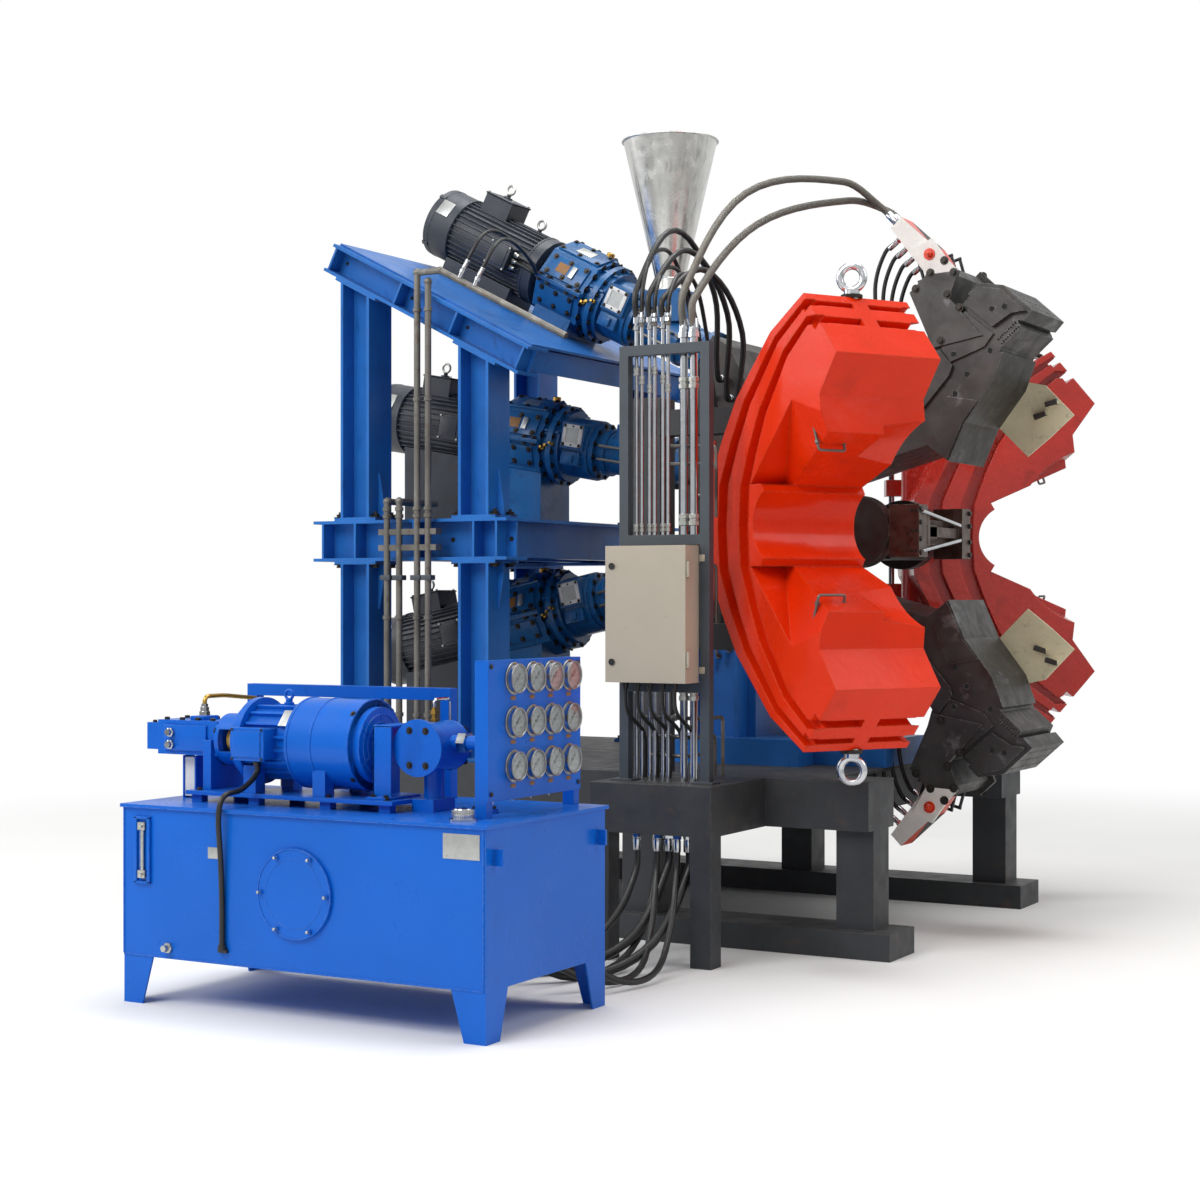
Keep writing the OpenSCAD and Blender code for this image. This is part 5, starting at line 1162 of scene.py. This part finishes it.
class EXTRUDER_OT_jaws(bpy.types.Operator):
    """Drill the jaws and fit their relief plates, switches and orange bolts"""
    bl_idname = "extruder.jaws"
    bl_label = "Jaw fittings"

    def execute(self, context):
        r = sizes().hole / MM
        # half the width over a jaw's cheeks, the plate of its switches, its side plates and the head
        cheek, switch_face, side_face, head_face = 250, 262, 275, 340
        for which in ("upper_jaw", "lower_jaw"):
            place = jaw_place(which)
            holes, rims, plates, switches, rods, bolts, caps = (Shape(place) for _ in range(7))
            # the hoses and their fittings are laid in the machine's frame
            fittings = Shape()

            def drill(at, axis, radius):
                # a hole is a flat near-black disc of painted shade, ringed by a torus of the jaw's steel
                holes.lathe([(0, radius), (0.8, radius)], at, axis, 14)
                rims.torus(at, axis, radius + 0.8, 1.1, 14, 5)

            def spread(a, b, count, first=0.08, last=0.92):
                """Points evenly spaced between two corners of the profile."""
                return [(a[0] + (b[0] - a[0]) * t, a[1] + (b[1] - a[1]) * t)
                        for t in (first + (last - first) * k / (count - 1) for k in range(count))]

            # perforated end face, counterbored top face, rows of holes along the near cheek's lip
            for x, z in spread((1494, 475), (1594, 314), 3, 0.2, 0.8):
                for k in range(10):
                    drill((x, -210 + 46.7 * k, z), (161, 0, 100), r)
            for x, z in spread((1382, 527), (1494, 475), 2, 0.3, 0.75):
                for y in (-190, -65, 65, 190):
                    drill((x, y, z), (52, 0, 112), 15)
            for x, z in spread((1404, 195), (1520, 252), 9):
                drill((x, -cheek, z + 13), NEAR, 5.5)
                drill((x - 10, -cheek, z + 36), NEAR, 5.5)
            # the deeper ones open on the relief plates
            for x, out, z in ((1130, 0, 60), (1210, 0, 130), (1180, 14, 240), (1350, 0, 200), (1420, 26, 380),
                              (1480, 26, 370)):
                drill((x, -cheek - out, z), NEAR, 13)
            # ground relief plates that step the cheeks
            for side in (-1, 1):
                turn = Matrix.Translation((0, side * cheek, 0)) @ Matrix.Rotation(math.pi / 2, 4, "X")
                for outline, thick in (
                        ([(1395, 300), (1500, 330), (1568, 318), (1490, 452), (1385, 505), (1300, 448)], 26),
                        ([(1150, 210), (1330, 225), (1390, 270), (1290, 415), (1225, 405), (1130, 300)], 14),
                        ([(960, 40), (1130, 150), (1160, 190), (1120, 285), (1040, 230), (950, 80)], 20),
                        ([(1010, -225), (1130, -82), (1230, -8), (1090, 60), (985, -90)], 10)):
                    plates.prism(outline, turn, -side * thick)
            for x0 in (1100, 1180):
                plates.slab((x0, -252, 596), (x0 + 52, -249, 640), 1)
            # orange bolt and hydraulic fittings on the near bracket
            caps.hexagon((1200, -side_face, 735), NEAR, 30, 20)
            caps.rod((1200, -side_face, 735), (1200, -side_face - 35, 735), 8, 12, 2)
            for x, z in ((1096, 905), (1128, 860), (1160, 815)):
                bolts.lathe([(0, 12), (14, 12), (16, 9), (26, 9)], (x, -100, z), FAR, 6)
            for x, z in ((1062, 899), (1090, 845), (1118, 790), (1146, 735)):
                for y in (-150, -205):
                    bolts.lathe([(0, 8), (10, 8), (12, 6)], (x, y, z), (-0.88, 0, -0.47), 10)
            # relay boxes between the side plates
            for y0, x1, y1, z1 in ((-196, 1190, -130, 672), (-40, 1190, 26, 665), (100, 1186, 150, 690)):
                switches.slab((1128, y0, 600), (x1, y1, z1), 3)
            # proximity switches on the far plate, with their rods
            for x, z in ((1300, 20), (1360, -10), (1290, -120)):
                switches.rod((x, switch_face, z), (x, switch_face + 30, z), 9, 12, 2)
                rods.rod((x, switch_face + 30, z), (x, switch_face + 44, z), 6, 10, 1)
            for a, b in (((1240, 20), (1470, -110)), ((1250, -200), (1400, -150))):
                bar(rods, (a[0], switch_face + 6, a[1]), (b[0], switch_face + 6, b[1]), 12, 8, 1)
            for x, z in ((1210, 0), (1330, 70), (1440, -120), (1380, -170), (1250, -230)):
                bolts.hexagon((x, switch_face, z), FAR, 15, 9)
            # bolts that hold the side plates
            for side in (-1, 1):
                for x, z in ((1090, 600), (1180, 648), (1262, 680), (1290, 610), (1232, 520), (1270, 440),
                             (1140, 320)):
                    bolts.hexagon((x, side * side_face, z), (0, side, 0), 22, 13)
            # black hoses from the jaw's back up to its hydraulic block
            for k in range(4):
                x, y, t = 846 + 18 * k, -222 + 34 * k, 0.2 + 0.15 * k
                end = (1042 + 113 * t, y, 930 - 290 * t)
                route = [place @ Vector(p) for p in (
                    (x, y, 30.3 + (x - 710) * 45 / 220), (x, y, 230), (x - 4, y, 430 - 20 * k),
                    (end[0] - 190, y, end[2] - 190), (end[0] - 93, y, end[2] - 37), end)]
                cord("%s_hose_%d" % (which, k + 1), route, 10, "hose", body=which)
                for first in (False, True):
                    ferrule(fittings, route, 10, first)
            # covers of the pivot
            for side in (-1, 1):
                bolts.lathe([(0, 58), (10, 58), (13, 52)], (0, side * (head_face + 0.3), 0), (0, side, 0), 32)
            # the jaws' holes are near-black discs of painted shade
            for name, shape, finish in (("holes", holes, "dark"), ("hole_rims", rims, "tool"),
                                        ("relief", plates, "tool"), ("switches", switches, "plastic"),
                                        ("rods", rods, "chrome"), ("bolts", bolts, "bolt"),
                                        ("orange_bolt", caps, "orange"), ("fittings", fittings, "chrome")):
                piece("jaw_%s_%s" % (which.replace("_jaw", ""), name), shape, finish, which)
        return {"FINISHED"}


class EXTRUDER_OT_clamps(bpy.types.Operator):
    """Fit the clamps' grease lines and hinge caps"""
    bl_idname = "extruder.clamps"
    bl_label = "Clamp fittings"

    def execute(self, context):
        for side in ("near", "far"):
            place = clamp_place(side)
            body = "clamp_%s_body" % side
            lines, nuts = Shape(place), Shape(place)
            for up in (-1, 1):
                pipe_run(lines, [(660, -236, up * 424), (701, -236, up * 309), (701, -96, up * 309),
                                 (660, -96, up * 424)], 6, 14, 8)
                for y in (-236, -96):
                    lines.lathe([(0, 11), (14, 11), (16, 6)], (686, y, up * 351), (0.34, 0, -0.94 * up), 6)
                # collars of the lifting eyes
                nuts.lathe([(0, 46), (5, 48), (14, 48), (18, 40)], (620, 0, up * 980), (0, 0, up), 32)
            # screws of the hinge's lugs
            for z, dz in product((-330, 240), (20, 70)):
                nuts.lathe([(0, 9), (7, 9), (9, 7)], (-90, -281, z + dz), NEAR, 12)
            piece("clamp_%s_grease_lines" % side, lines, "pipe", body)
            piece("clamp_%s_nuts" % side, nuts, "bolt", body)
        caps = Shape()
        at = Vector(JOINTS["clamp_near_swing"]["pos_m"]) / MM
        z = mm_box("clamp_posts")[1].z - 60
        for y in (at.y, -at.y):
            caps.lathe([(0, 62), (8, 62), (12, 56)], (at.x, y, z), UP, 32)
            for out, across in circle(6, 48, 0.0, (at.x, y)):
                caps.hexagon((out, across, z + 9), UP, 13, 8, False)
        piece("clamp_hinge_caps", caps, "bolt")
        return {"FINISHED"}


# ---------------------------------------------------------------- power unit
class EXTRUDER_OT_power_unit(bpy.types.Operator):
    """Dress the hydraulic power unit: motor, pump, filter, tank and rails"""
    bl_idname = "extruder.power_unit"
    bl_label = "Power unit fittings"

    def execute(self, context):
        motor, bolts, bright, brass, blank, cap = (Shape() for _ in range(6))
        axis = Vector(JOINTS["pump_coupling_spin"]["pos_m"]) / MM
        y, z = axis.y, axis.z
        self.motor_and_pump(motor, bolts, bright, brass, blank, y, z)
        self.filter_and_feet(motor, bolts, bright, brass, y, z)
        # knurl and crown of the filler cap, which ride with the cap
        seat = Matrix.Translation(Vector(JOINTS["filler_cap_turn"]["pos_m"]) / MM)
        for _ in cap.spin(seat, 36, 0, "Z"):
            cap.slab((39, -1.6, 12), (41.6, 1.6, 40), 0.6)
        cap.lathe([(0, 36), (3, 34), (5, 20)], (0, 0, 42), UP, 32)
        piece("power_motor_parts", motor, "tank")
        piece("power_bolts", bolts, "bolt")
        piece("power_chrome", bright, "chrome")
        piece("power_brass", brass, "brass")
        piece("power_blank_plate", blank, "tag")
        piece("filler_cap_knurl", cap, "chrome", "filler_cap_body")
        self.tank()
        return {"FINISHED"}

    def motor_and_pump(self, motor, bolts, bright, brass, blank, y, z):
        """Dress the motor, its bell housing and the pump, whose common axis lies at y and z."""
        middle = Matrix.Translation((0, y, z))
        # cowl: rolled bands, and the rings and spokes of its grille
        for x in (-176, -60, 118):
            motor.lathe([(0, 177), (2, 181), (10, 181), (12, 177)], (x, y, z), AHEAD, 64)
        for r in (30, 60, 90, 120):
            motor.torus((160, y, z), AHEAD, r, 3.2, 48, 6)
        for k in range(3):
            motor.place = middle @ Matrix.Rotation(math.pi * k / 3, 4, "X")
            motor.slab((158, -4, -146), (162, 4, 146))
        for _ in bolts.spin(middle, 4):
            bolts.hexagon((118, 0, 181), UP, 12, 7)
            bolts.hexagon((-440, 0, 132), BEHIND, 18, 12)
        motor.place = bolts.place = Matrix.Identity(4)
        # terminal box: lid and screws; blank plate and lifting boss on the motor
        motor.slab((-406, y - 222, z - 66), (-244, y - 209, z + 66), 6)
        motor.slab((-392, y - 228, z - 52), (-258, y - 221, z + 52), 4)
        for x, dz in product((-398, -252), (-58, 58)):
            bolts.hexagon((x, y - 222, z + dz), NEAR, 10, 6, False)
        blank.place = middle @ Matrix.Rotation(math.radians(50), 4, "X")
        blank.slab((-236, -38, 155), (-196, 38, 157), 0.5)
        motor.lathe([(0, 26), (6, 26), (8, 20), (26, 20)], (-290, y, z + 130), UP, 20)
        # bell housing and pump: flange bolts, block bolts, ports
        for k in bolts.spin(middle, 8):
            bolts.hexagon((-470, 0, 128), BEHIND, 19, 12)
            if k % 2:
                bolts.hexagon((-589, 0, 94), BEHIND, 17, 11)
        bolts.place = Matrix.Identity(4)
        for x, dy in product((-870, -790, -710, -630), (-62, 62)):
            bolts.lathe([(0, 11), (9, 11), (11, 9)], (x, y + dy, z + 75), UP, 16)
        for x, dy in product((-955, -925), (-40, 40)):
            bolts.lathe([(0, 9), (8, 9), (10, 7)], (x, y + dy, z + 60), UP, 14)
        motor.slab((-860, y - 96, z - 48), (-640, y - 84, z + 56), 3)
        motor.slab((-760, y - 50, z + 74), (-690, y + 50, z + 92), 4)
        bright.lathe([(0, 22), (16, 22), (18, 18), (34, 18), (36, 14), (48, 14)],
                     (-725, y, z + 92), UP, 6)
        for dz in (-24, 26):
            bright.lathe([(0, 20), (12, 20), (14, 15), (26, 15)], (-820, y - 96, z + dz), NEAR, 6)
        pipe_run(brass, [(-725, y, z + 138), (-725, y, z + 170), (-725, y + 120, z + 170),
                         (-725, y + 330, z + 150)], 9, 26, 10)

    def filter_and_feet(self, motor, bolts, bright, brass, y, z):
        """Dress the return filter and its bracket, and bolt the feet down."""
        filter_x, elbow_x = 380, 610
        elbow_top, rail_top, feet_top = 808, 836, 945
        # flange screws, drum bands, vent pipe, and the nuts and bolts of the elbow
        for x, dz in product((filter_x - 36, filter_x + 38), (-66, 66)):
            bolts.hexagon((x, y - 75, z + dz), NEAR, 15, 9)
        for across, up in circle(8, 98):
            bolts.hexagon((filter_x + across, y + 150, z + up * 0.9), FAR, 13, 8)
        motor.torus((filter_x, y - 60, z), FAR, 104, 5, 48, 8)
        motor.torus((filter_x, y + 148, z), FAR, 93, 4, 48, 8)
        brass.lathe([(0, 16), (14, 16), (16, 12), (30, 12), (32, 18), (48, 18), (50, 9), (60, 9)],
                    (filter_x, y + 40, z + 92), UP, 10)
        pipe_run(bright, [(filter_x, y + 40, z + 148), (filter_x, y + 40, z + 182),
                          (filter_x, y + 150, z + 182), (filter_x, y + 150, z + 96)], 6, 20, 8)
        bright.lathe([(0, 33), (4, 42), (40, 42), (44, 33)], (filter_x + 120, y + 40, z + 20), AHEAD, 6)
        bright.lathe([(0, 30), (3, 36), (34, 36), (37, 30)], (elbow_x, y + 40, z - 60), DOWN, 6)
        for out, across in circle(6, 44, 0.0, (elbow_x, y + 40)):
            bolts.hexagon((out, across, elbow_top), UP, 12, 7, False)
        # square bracket between the motor and the filter
        motor.slab((194, y - 104, rail_top), (202, y + 66, z + 84), 2)
        motor.slab((194, y - 104, rail_top), (278, y - 96, z + 84), 2)
        motor.slab((194, y - 104, z + 77), (278, y + 66, z + 85), 2)
        motor.slab((182, y - 132, rail_top), (288, y + 84, rail_top + 10), 2)
        for x in (206, 264):
            bolts.hexagon((x, y - 118, rail_top + 10), UP, 14, 9)
        # bolts of the rail's and the motor's feet
        for x, dy in product((-640, -350, 0, 280), (-130, 130)):
            bolts.hexagon((x, y + dy, rail_top), UP, 17, 10)
        for x, dy in product((-370, -30), (-120, 120)):
            bolts.hexagon((x, y + dy, feet_top), UP, 15, 10)

    def tank(self):
        """Weld, label and trim the tank."""
        low, high = mm_box("tank")
        x0, x1, y0, z0, z1 = -850, 850, low.y + 12, 192, high.z
        trim, tags, bolts, pale, lens = (Shape() for _ in range(5))
        # weld beads up the front's corners, along its foot and round the lid
        r = sizes().weld / MM
        for x in (x0, x1):
            trim.rod((x, y0 - 0.5, z0 + 4), (x, y0 - 0.5, z1 - 14), r, 8)
        trim.rod((x0, y0, z0), (x1, y0, z0), r, 8)
        trim.rod((x0 - 12, y0 - 12, z1 - 12), (x1 + 12, y0 - 12, z1 - 12), 2.2, 8)
        # channel bars either side of the level gauge
        left, right, foot, top = -782, -716, 482, 738
        for x in (left, right):
            trim.slab((x - 7, y0 - 13, foot - 4), (x + 7, y0, top + 4), 2)
        for z in (foot, top):
            trim.slab((left - 7, y0 - 13, z - 5), (right + 7, y0, z + 5), 2)
        lens.rod((-747, y0 - 17.5, foot + 51), (-747, y0 - 17.5, top - 51), 6, 12)
        # a large and a small blank plate, the large one screwed on
        tags.slab((676, y0 - 3, 663), (835, y0 - 0.2, 755), 1)
        tags.slab((-420, y0 - 2.4, 596), (-352, y0 - 0.2, 640), 0.8)
        for x, z in product((688, 823), (673, 745)):
            bolts.lathe([(0, 4), (1.5, 3.4), (2.4, 1.5)], (x, y0 - 3, z), NEAR, 12)
        # switch box between two posts under the pump, whose block reaches 78 below its axis
        pump = Vector(JOINTS["pump_coupling_spin"]["pos_m"]) / MM
        under = pump.z - 78
        pale.slab((-806, pump.y - 28, z1 + 6), (-752, pump.y + 30, under), 4)
        for x in (-814, -752):
            trim.slab((x, pump.y - 32, z1), (x + 8, pump.y + 34, under + 6), 1)
        # manhole cover: two raised rings and its bolts
        centre, radius = (5, 486), 174
        trim.torus((centre[0], y0 - 12, centre[1]), FAR, radius - 3, 3.4, 64, 8)
        trim.torus((centre[0], y0 - 11, centre[1]), FAR, radius - 42, 2.2, 64, 6)
        for x, z in circle(6, radius - 18, 0.0, centre):
            bolts.lathe([(0, 6), (14, 6), (16, 4)], (x, y0 - 21, z), NEAR, 10)
        # drain plug low on the front
        bolts.lathe([(0, 22), (10, 22), (12, 14), (34, 14)], (-620, y0, 232), NEAR, 6)
        piece("tank_trim", trim, "tank")
        piece("tank_plates", tags, "tag")
        piece("tank_fasteners", bolts, "zinc")
        piece("tank_side_box", pale, "white")
        piece("level_glass", lens, "glass")


# ---------------------------------------------------------------- gauges
# strokes of each digit, and each stroke's ends as shares of the digit's width and height
SEGMENTS = {"0": "abcdef", "1": "bc", "2": "abged", "3": "abgcd", "4": "fgbc", "5": "afgcd", "6": "afgedc",
            "8": "abcdefg"}
STROKES = {"a": (0, 1, 1, 1), "b": (1, 0.5, 1, 1), "c": (1, 0, 1, 0.5), "d": (0, 0, 1, 0),
           "e": (0, 0, 0, 0.5), "f": (0, 0.5, 0, 1), "g": (0, 0.5, 1, 0.5)}


def figure(shape, text, u, v, tall):
    """A number in plain strokes centred on (u, v), drawn in the dial's plane."""
    wide, half_stroke = tall * 0.5, 0.45
    pitch = wide * 1.45
    start = u - (len(text) * pitch - (pitch - wide)) / 2
    for k, digit in enumerate(text):
        for stroke in SEGMENTS[digit]:
            a0, b0, a1, b1 = STROKES[stroke]
            x0, x1 = start + k * pitch + wide * a0, start + k * pitch + wide * a1
            y0, y1 = v - tall / 2 + tall * b0, v - tall / 2 + tall * b1
            shape.slab((x0 - half_stroke, y0 - half_stroke, 0), (x1 + half_stroke, y1 + half_stroke, 0.3))


class EXTRUDER_OT_gauges(bpy.types.Operator):
    """Finish the twelve pressure gauges: dial, scale, glass, bezel screw and pipes"""
    bl_idname = "extruder.gauges"
    bl_label = "Gauges"

    def execute(self, context):
        radius = sizes().dial / MM
        dials, marks, glass, screws, tags, pipes, rims, panel = (Shape() for _ in range(8))
        front = mm_box("gauge_cases")[1].x
        for k in range(12):
            at = Vector(JOINTS["needle_%d_sweep" % (k + 1)]["pos_m"]) / MM
            # the dial's plane: X to the viewer's right, Y up, Z towards the viewer
            plane = Matrix.Translation(at) @ Matrix(((0, 0, 1, 0), (1, 0, 0, 0), (0, 1, 0, 0), (0, 0, 0, 1)))
            for shape in (dials, marks, glass, screws, tags, pipes, rims):
                shape.place = plane
            dials.lathe([(0.1, radius - 0.4), (0.9, radius - 0.4)], (0, 0, 0), UP, 48)
            # thirty divisions over 270 degrees, every fifth one long and with its number
            for n in range(31):
                angle = math.radians(225 - 9 * n)
                inner, wide = (0.8, 1.1) if n % 5 == 0 else (0.87, 0.6)
                x, y = radius * math.cos(angle), radius * math.sin(angle)
                bar(marks, (inner * x, inner * y, 1.0), (0.93 * x, 0.93 * y, 1.0), wide, 0.5, 0)
            marks.place = plane @ Matrix.Translation((0, 0, 0.9))
            for n, text in enumerate(("0", "5", "10", "15", "20", "25", "30")):
                angle = math.radians(225 - 45 * n)
                figure(marks, text, radius * 0.64 * math.cos(angle), radius * 0.64 * math.sin(angle), 7)
            # glass and bezel at the case's front, then the case's rim, screws and tag
            step = front - at.x
            glass.lathe([(step - 2.4, radius - 0.6), (step - 1.2, radius - 0.6), (step - 0.6, radius * 0.6)],
                        (0, 0, 0), UP, 40)
            rims.torus((0, 0, step - 1), UP, radius + 3.2, 3.6, 64, 10)
            rims.torus((0, 0, -10), UP, radius + 9, 2.4, 64, 8)
            screws.lathe([(0, 3.4), (2, 3.4), (2.4, 2.8)], (0, radius + 7, -9), UP, 12)
            for x, y in circle(3, radius + 8, math.pi / 2):
                screws.lathe([(0, 3), (2, 3), (3, 1.6)], (x, y, -10), UP, 12)
            tags.slab((-17, -radius - 31, -15.9), (17, -radius - 17, -14.6), 0.4)
            # fitting behind the case, and its capillary down to the panel's foot
            pipes.lathe([(0, 10), (12, 10), (14, 6), (22, 6)], (0, 0, -54), DOWN, 6)
            pipe_run(pipes, [(0, 0, -72), (0, 0, -92), (0, -40, -96), (-18, -90 - at.z % 37, -96),
                             (-18, 830 - at.z, -96)], 3, 14, 6)
        low, high = mm_box("gauge_panel")
        for y, z in product((low.y + 20, high.y - 20), (low.z + 90, high.z - 22)):
            panel.lathe([(0, 9), (5, 9), (7, 6)], (high.x, y, z), AHEAD, 12)
        piece("gauge_dials", dials, "dial")
        piece("gauge_marks", marks, "ink")
        piece("gauge_glasses", glass, "glass")
        piece("gauge_rims", rims, "screw")
        piece("gauge_screws", screws, "brass")
        piece("gauge_blank_tags", tags, "amber")
        piece("gauge_capillaries", pipes, "bright")
        piece("gauge_panel_bolts", panel, "bolt")
        return {"FINISHED"}


# ---------------------------------------------------------------- stage
def floor_finish():
    """Pale sealed concrete: matt, and plain white to the camera far from the machine."""
    floor = Finish("sealed_concrete_pale", "#F1F1EF", roughness=0.75).drift(900, 0.015).grain(20, 0.05)
    material = floor.done()
    tree = floor.tree
    seen = add(tree, "ShaderNodeLightPath", out="Is Camera Ray")
    away = add(tree, "ShaderNodeVectorMath", {0: floor.where}, out="Value", operation="LENGTH")
    far = add(tree, "ShaderNodeMapRange", {"Value": away, "From Min": 3.4, "From Max": 8.5},
              interpolation_type="SMOOTHSTEP")
    share = add(tree, "ShaderNodeMath", {0: seen, 1: far}, operation="MULTIPLY")
    white = add(tree, "ShaderNodeEmission", {"Color": (1, 1, 1, 1), "Strength": 1.0})
    both = add(tree, "ShaderNodeMixShader", {0: share, 1: floor.shader.outputs[0], 2: white})
    tree.links.new(both, tree.nodes["Material Output"].inputs["Surface"])
    return material


class EXTRUDER_OT_stage(bpy.types.Operator):
    """Set the floor, the soft lamps, the white surroundings and the camera"""
    bl_idname = "extruder.stage"
    bl_label = "Stage"

    def execute(self, context):
        scene = context.scene
        scene.view_settings.view_transform = "Standard"
        camera = bpy.data.cameras.new("camera")
        camera.sensor_width = 36.0
        # a longish lens: the whole machine just fits into a square frame
        camera.lens = 62.6
        camera.clip_end = 200
        seat = bpy.data.objects.new("camera", camera)
        seat.location = (4.9, -9.7, 1.6)
        seat.rotation_euler = (math.pi / 2, 0, math.radians(29.5))
        scene.collection.objects.link(seat)
        scene.camera = seat
        radius = sizes().floor / MM
        floor = Shape().lathe([(-20, radius), (0, radius)], (0, 0, 0), UP, 96)
        made_of("floor", floor, floor_finish())
        # soft square lamps
        for name, at, aim, size, watts in (
                ("key", (-2.0, -10.0, 8.5), (0.0, -1.0, 1.4), 6.0, 790),
                ("left", (-9.5, -4.5, 6.5), (-0.5, -0.5, 1.6), 6.0, 330),
                ("right", (9.0, 0.5, 7.5), (0.8, 0.0, 2.4), 5.0, 270),
                ("top", (0.5, 0.5, 11.0), (0.0, 0.0, 1.0), 7.0, 720)):
            lamp = bpy.data.lights.new(name, "AREA")
            lamp.energy, lamp.size = watts, size
            held = bpy.data.objects.new(name, lamp)
            held.location = at
            held.rotation_euler = (Vector(at) - Vector(aim)).to_track_quat("Z", "Y").to_euler()
            scene.collection.objects.link(held)
        world = bpy.data.worlds.new("surroundings")
        world.use_nodes = True
        scene.world = world
        tree = world.node_tree
        # the camera and mirror-like surfaces see white, the rest a dim even sky
        ray = {name: add(tree, "ShaderNodeLightPath", out=name)
               for name in ("Is Camera Ray", "Is Glossy Ray", "Is Transmission Ray")}
        seen = add(tree, "ShaderNodeMath", {0: ray["Is Camera Ray"], 1: ray["Is Transmission Ray"]},
                   operation="MAXIMUM")
        level = add(tree, "ShaderNodeMapRange", {"Value": seen, "To Min": 0.3, "To Max": 1.0})
        glossy = add(tree, "ShaderNodeMapRange", {"Value": ray["Is Glossy Ray"], "To Max": 0.75})
        strength = add(tree, "ShaderNodeMath", {0: level, 1: glossy}, operation="MAXIMUM")
        sky = tree.nodes["Background"]
        sky.inputs["Color"].default_value = (1, 1, 1, 1)
        tree.links.new(strength, sky.inputs["Strength"])
        return {"FINISHED"}


# ---------------------------------------------------------------- panel and start
PIECES = (EXTRUDER_OT_stage, EXTRUDER_OT_finishes, EXTRUDER_OT_hoses, EXTRUDER_OT_tower,
          EXTRUDER_OT_motors, EXTRUDER_OT_gear_cases, EXTRUDER_OT_barrels, EXTRUDER_OT_pipes,
          EXTRUDER_OT_cabinet, EXTRUDER_OT_head, EXTRUDER_OT_jaws, EXTRUDER_OT_clamps,
          EXTRUDER_OT_power_unit, EXTRUDER_OT_gauges)


class EXTRUDER_PT_panel(bpy.types.Panel):
    """The extruder's settings and its pieces in the order that they are made"""
    bl_label = "Cold-feed extruder"
    bl_idname = "EXTRUDER_PT_panel"
    bl_space_type = "VIEW_3D"
    bl_region_type = "UI"
    bl_category = "Extruder"

    def draw(self, context):
        column = self.layout.column()
        for group in (context.scene.extruder_colours, context.scene.extruder_sizes):
            for name in group.__annotations__:
                column.prop(group, name)
        for made in PIECES:
            column.operator(made.bl_idname)


CLASSES = (ExtruderColours, ExtruderSizes) + PIECES + (EXTRUDER_PT_panel,)


def register():
    for kind in CLASSES:
        bpy.utils.register_class(kind)
    bpy.types.Scene.extruder_colours = bpy.props.PointerProperty(type=ExtruderColours)
    bpy.types.Scene.extruder_sizes = bpy.props.PointerProperty(type=ExtruderSizes)


def unregister():
    del bpy.types.Scene.extruder_sizes
    del bpy.types.Scene.extruder_colours
    for kind in reversed(CLASSES):
        bpy.utils.unregister_class(kind)


def main():
    register()
    for made in PIECES:
        getattr(bpy.ops.extruder, made.bl_idname.split(".")[1])()


if __name__ == "__main__":
    main()
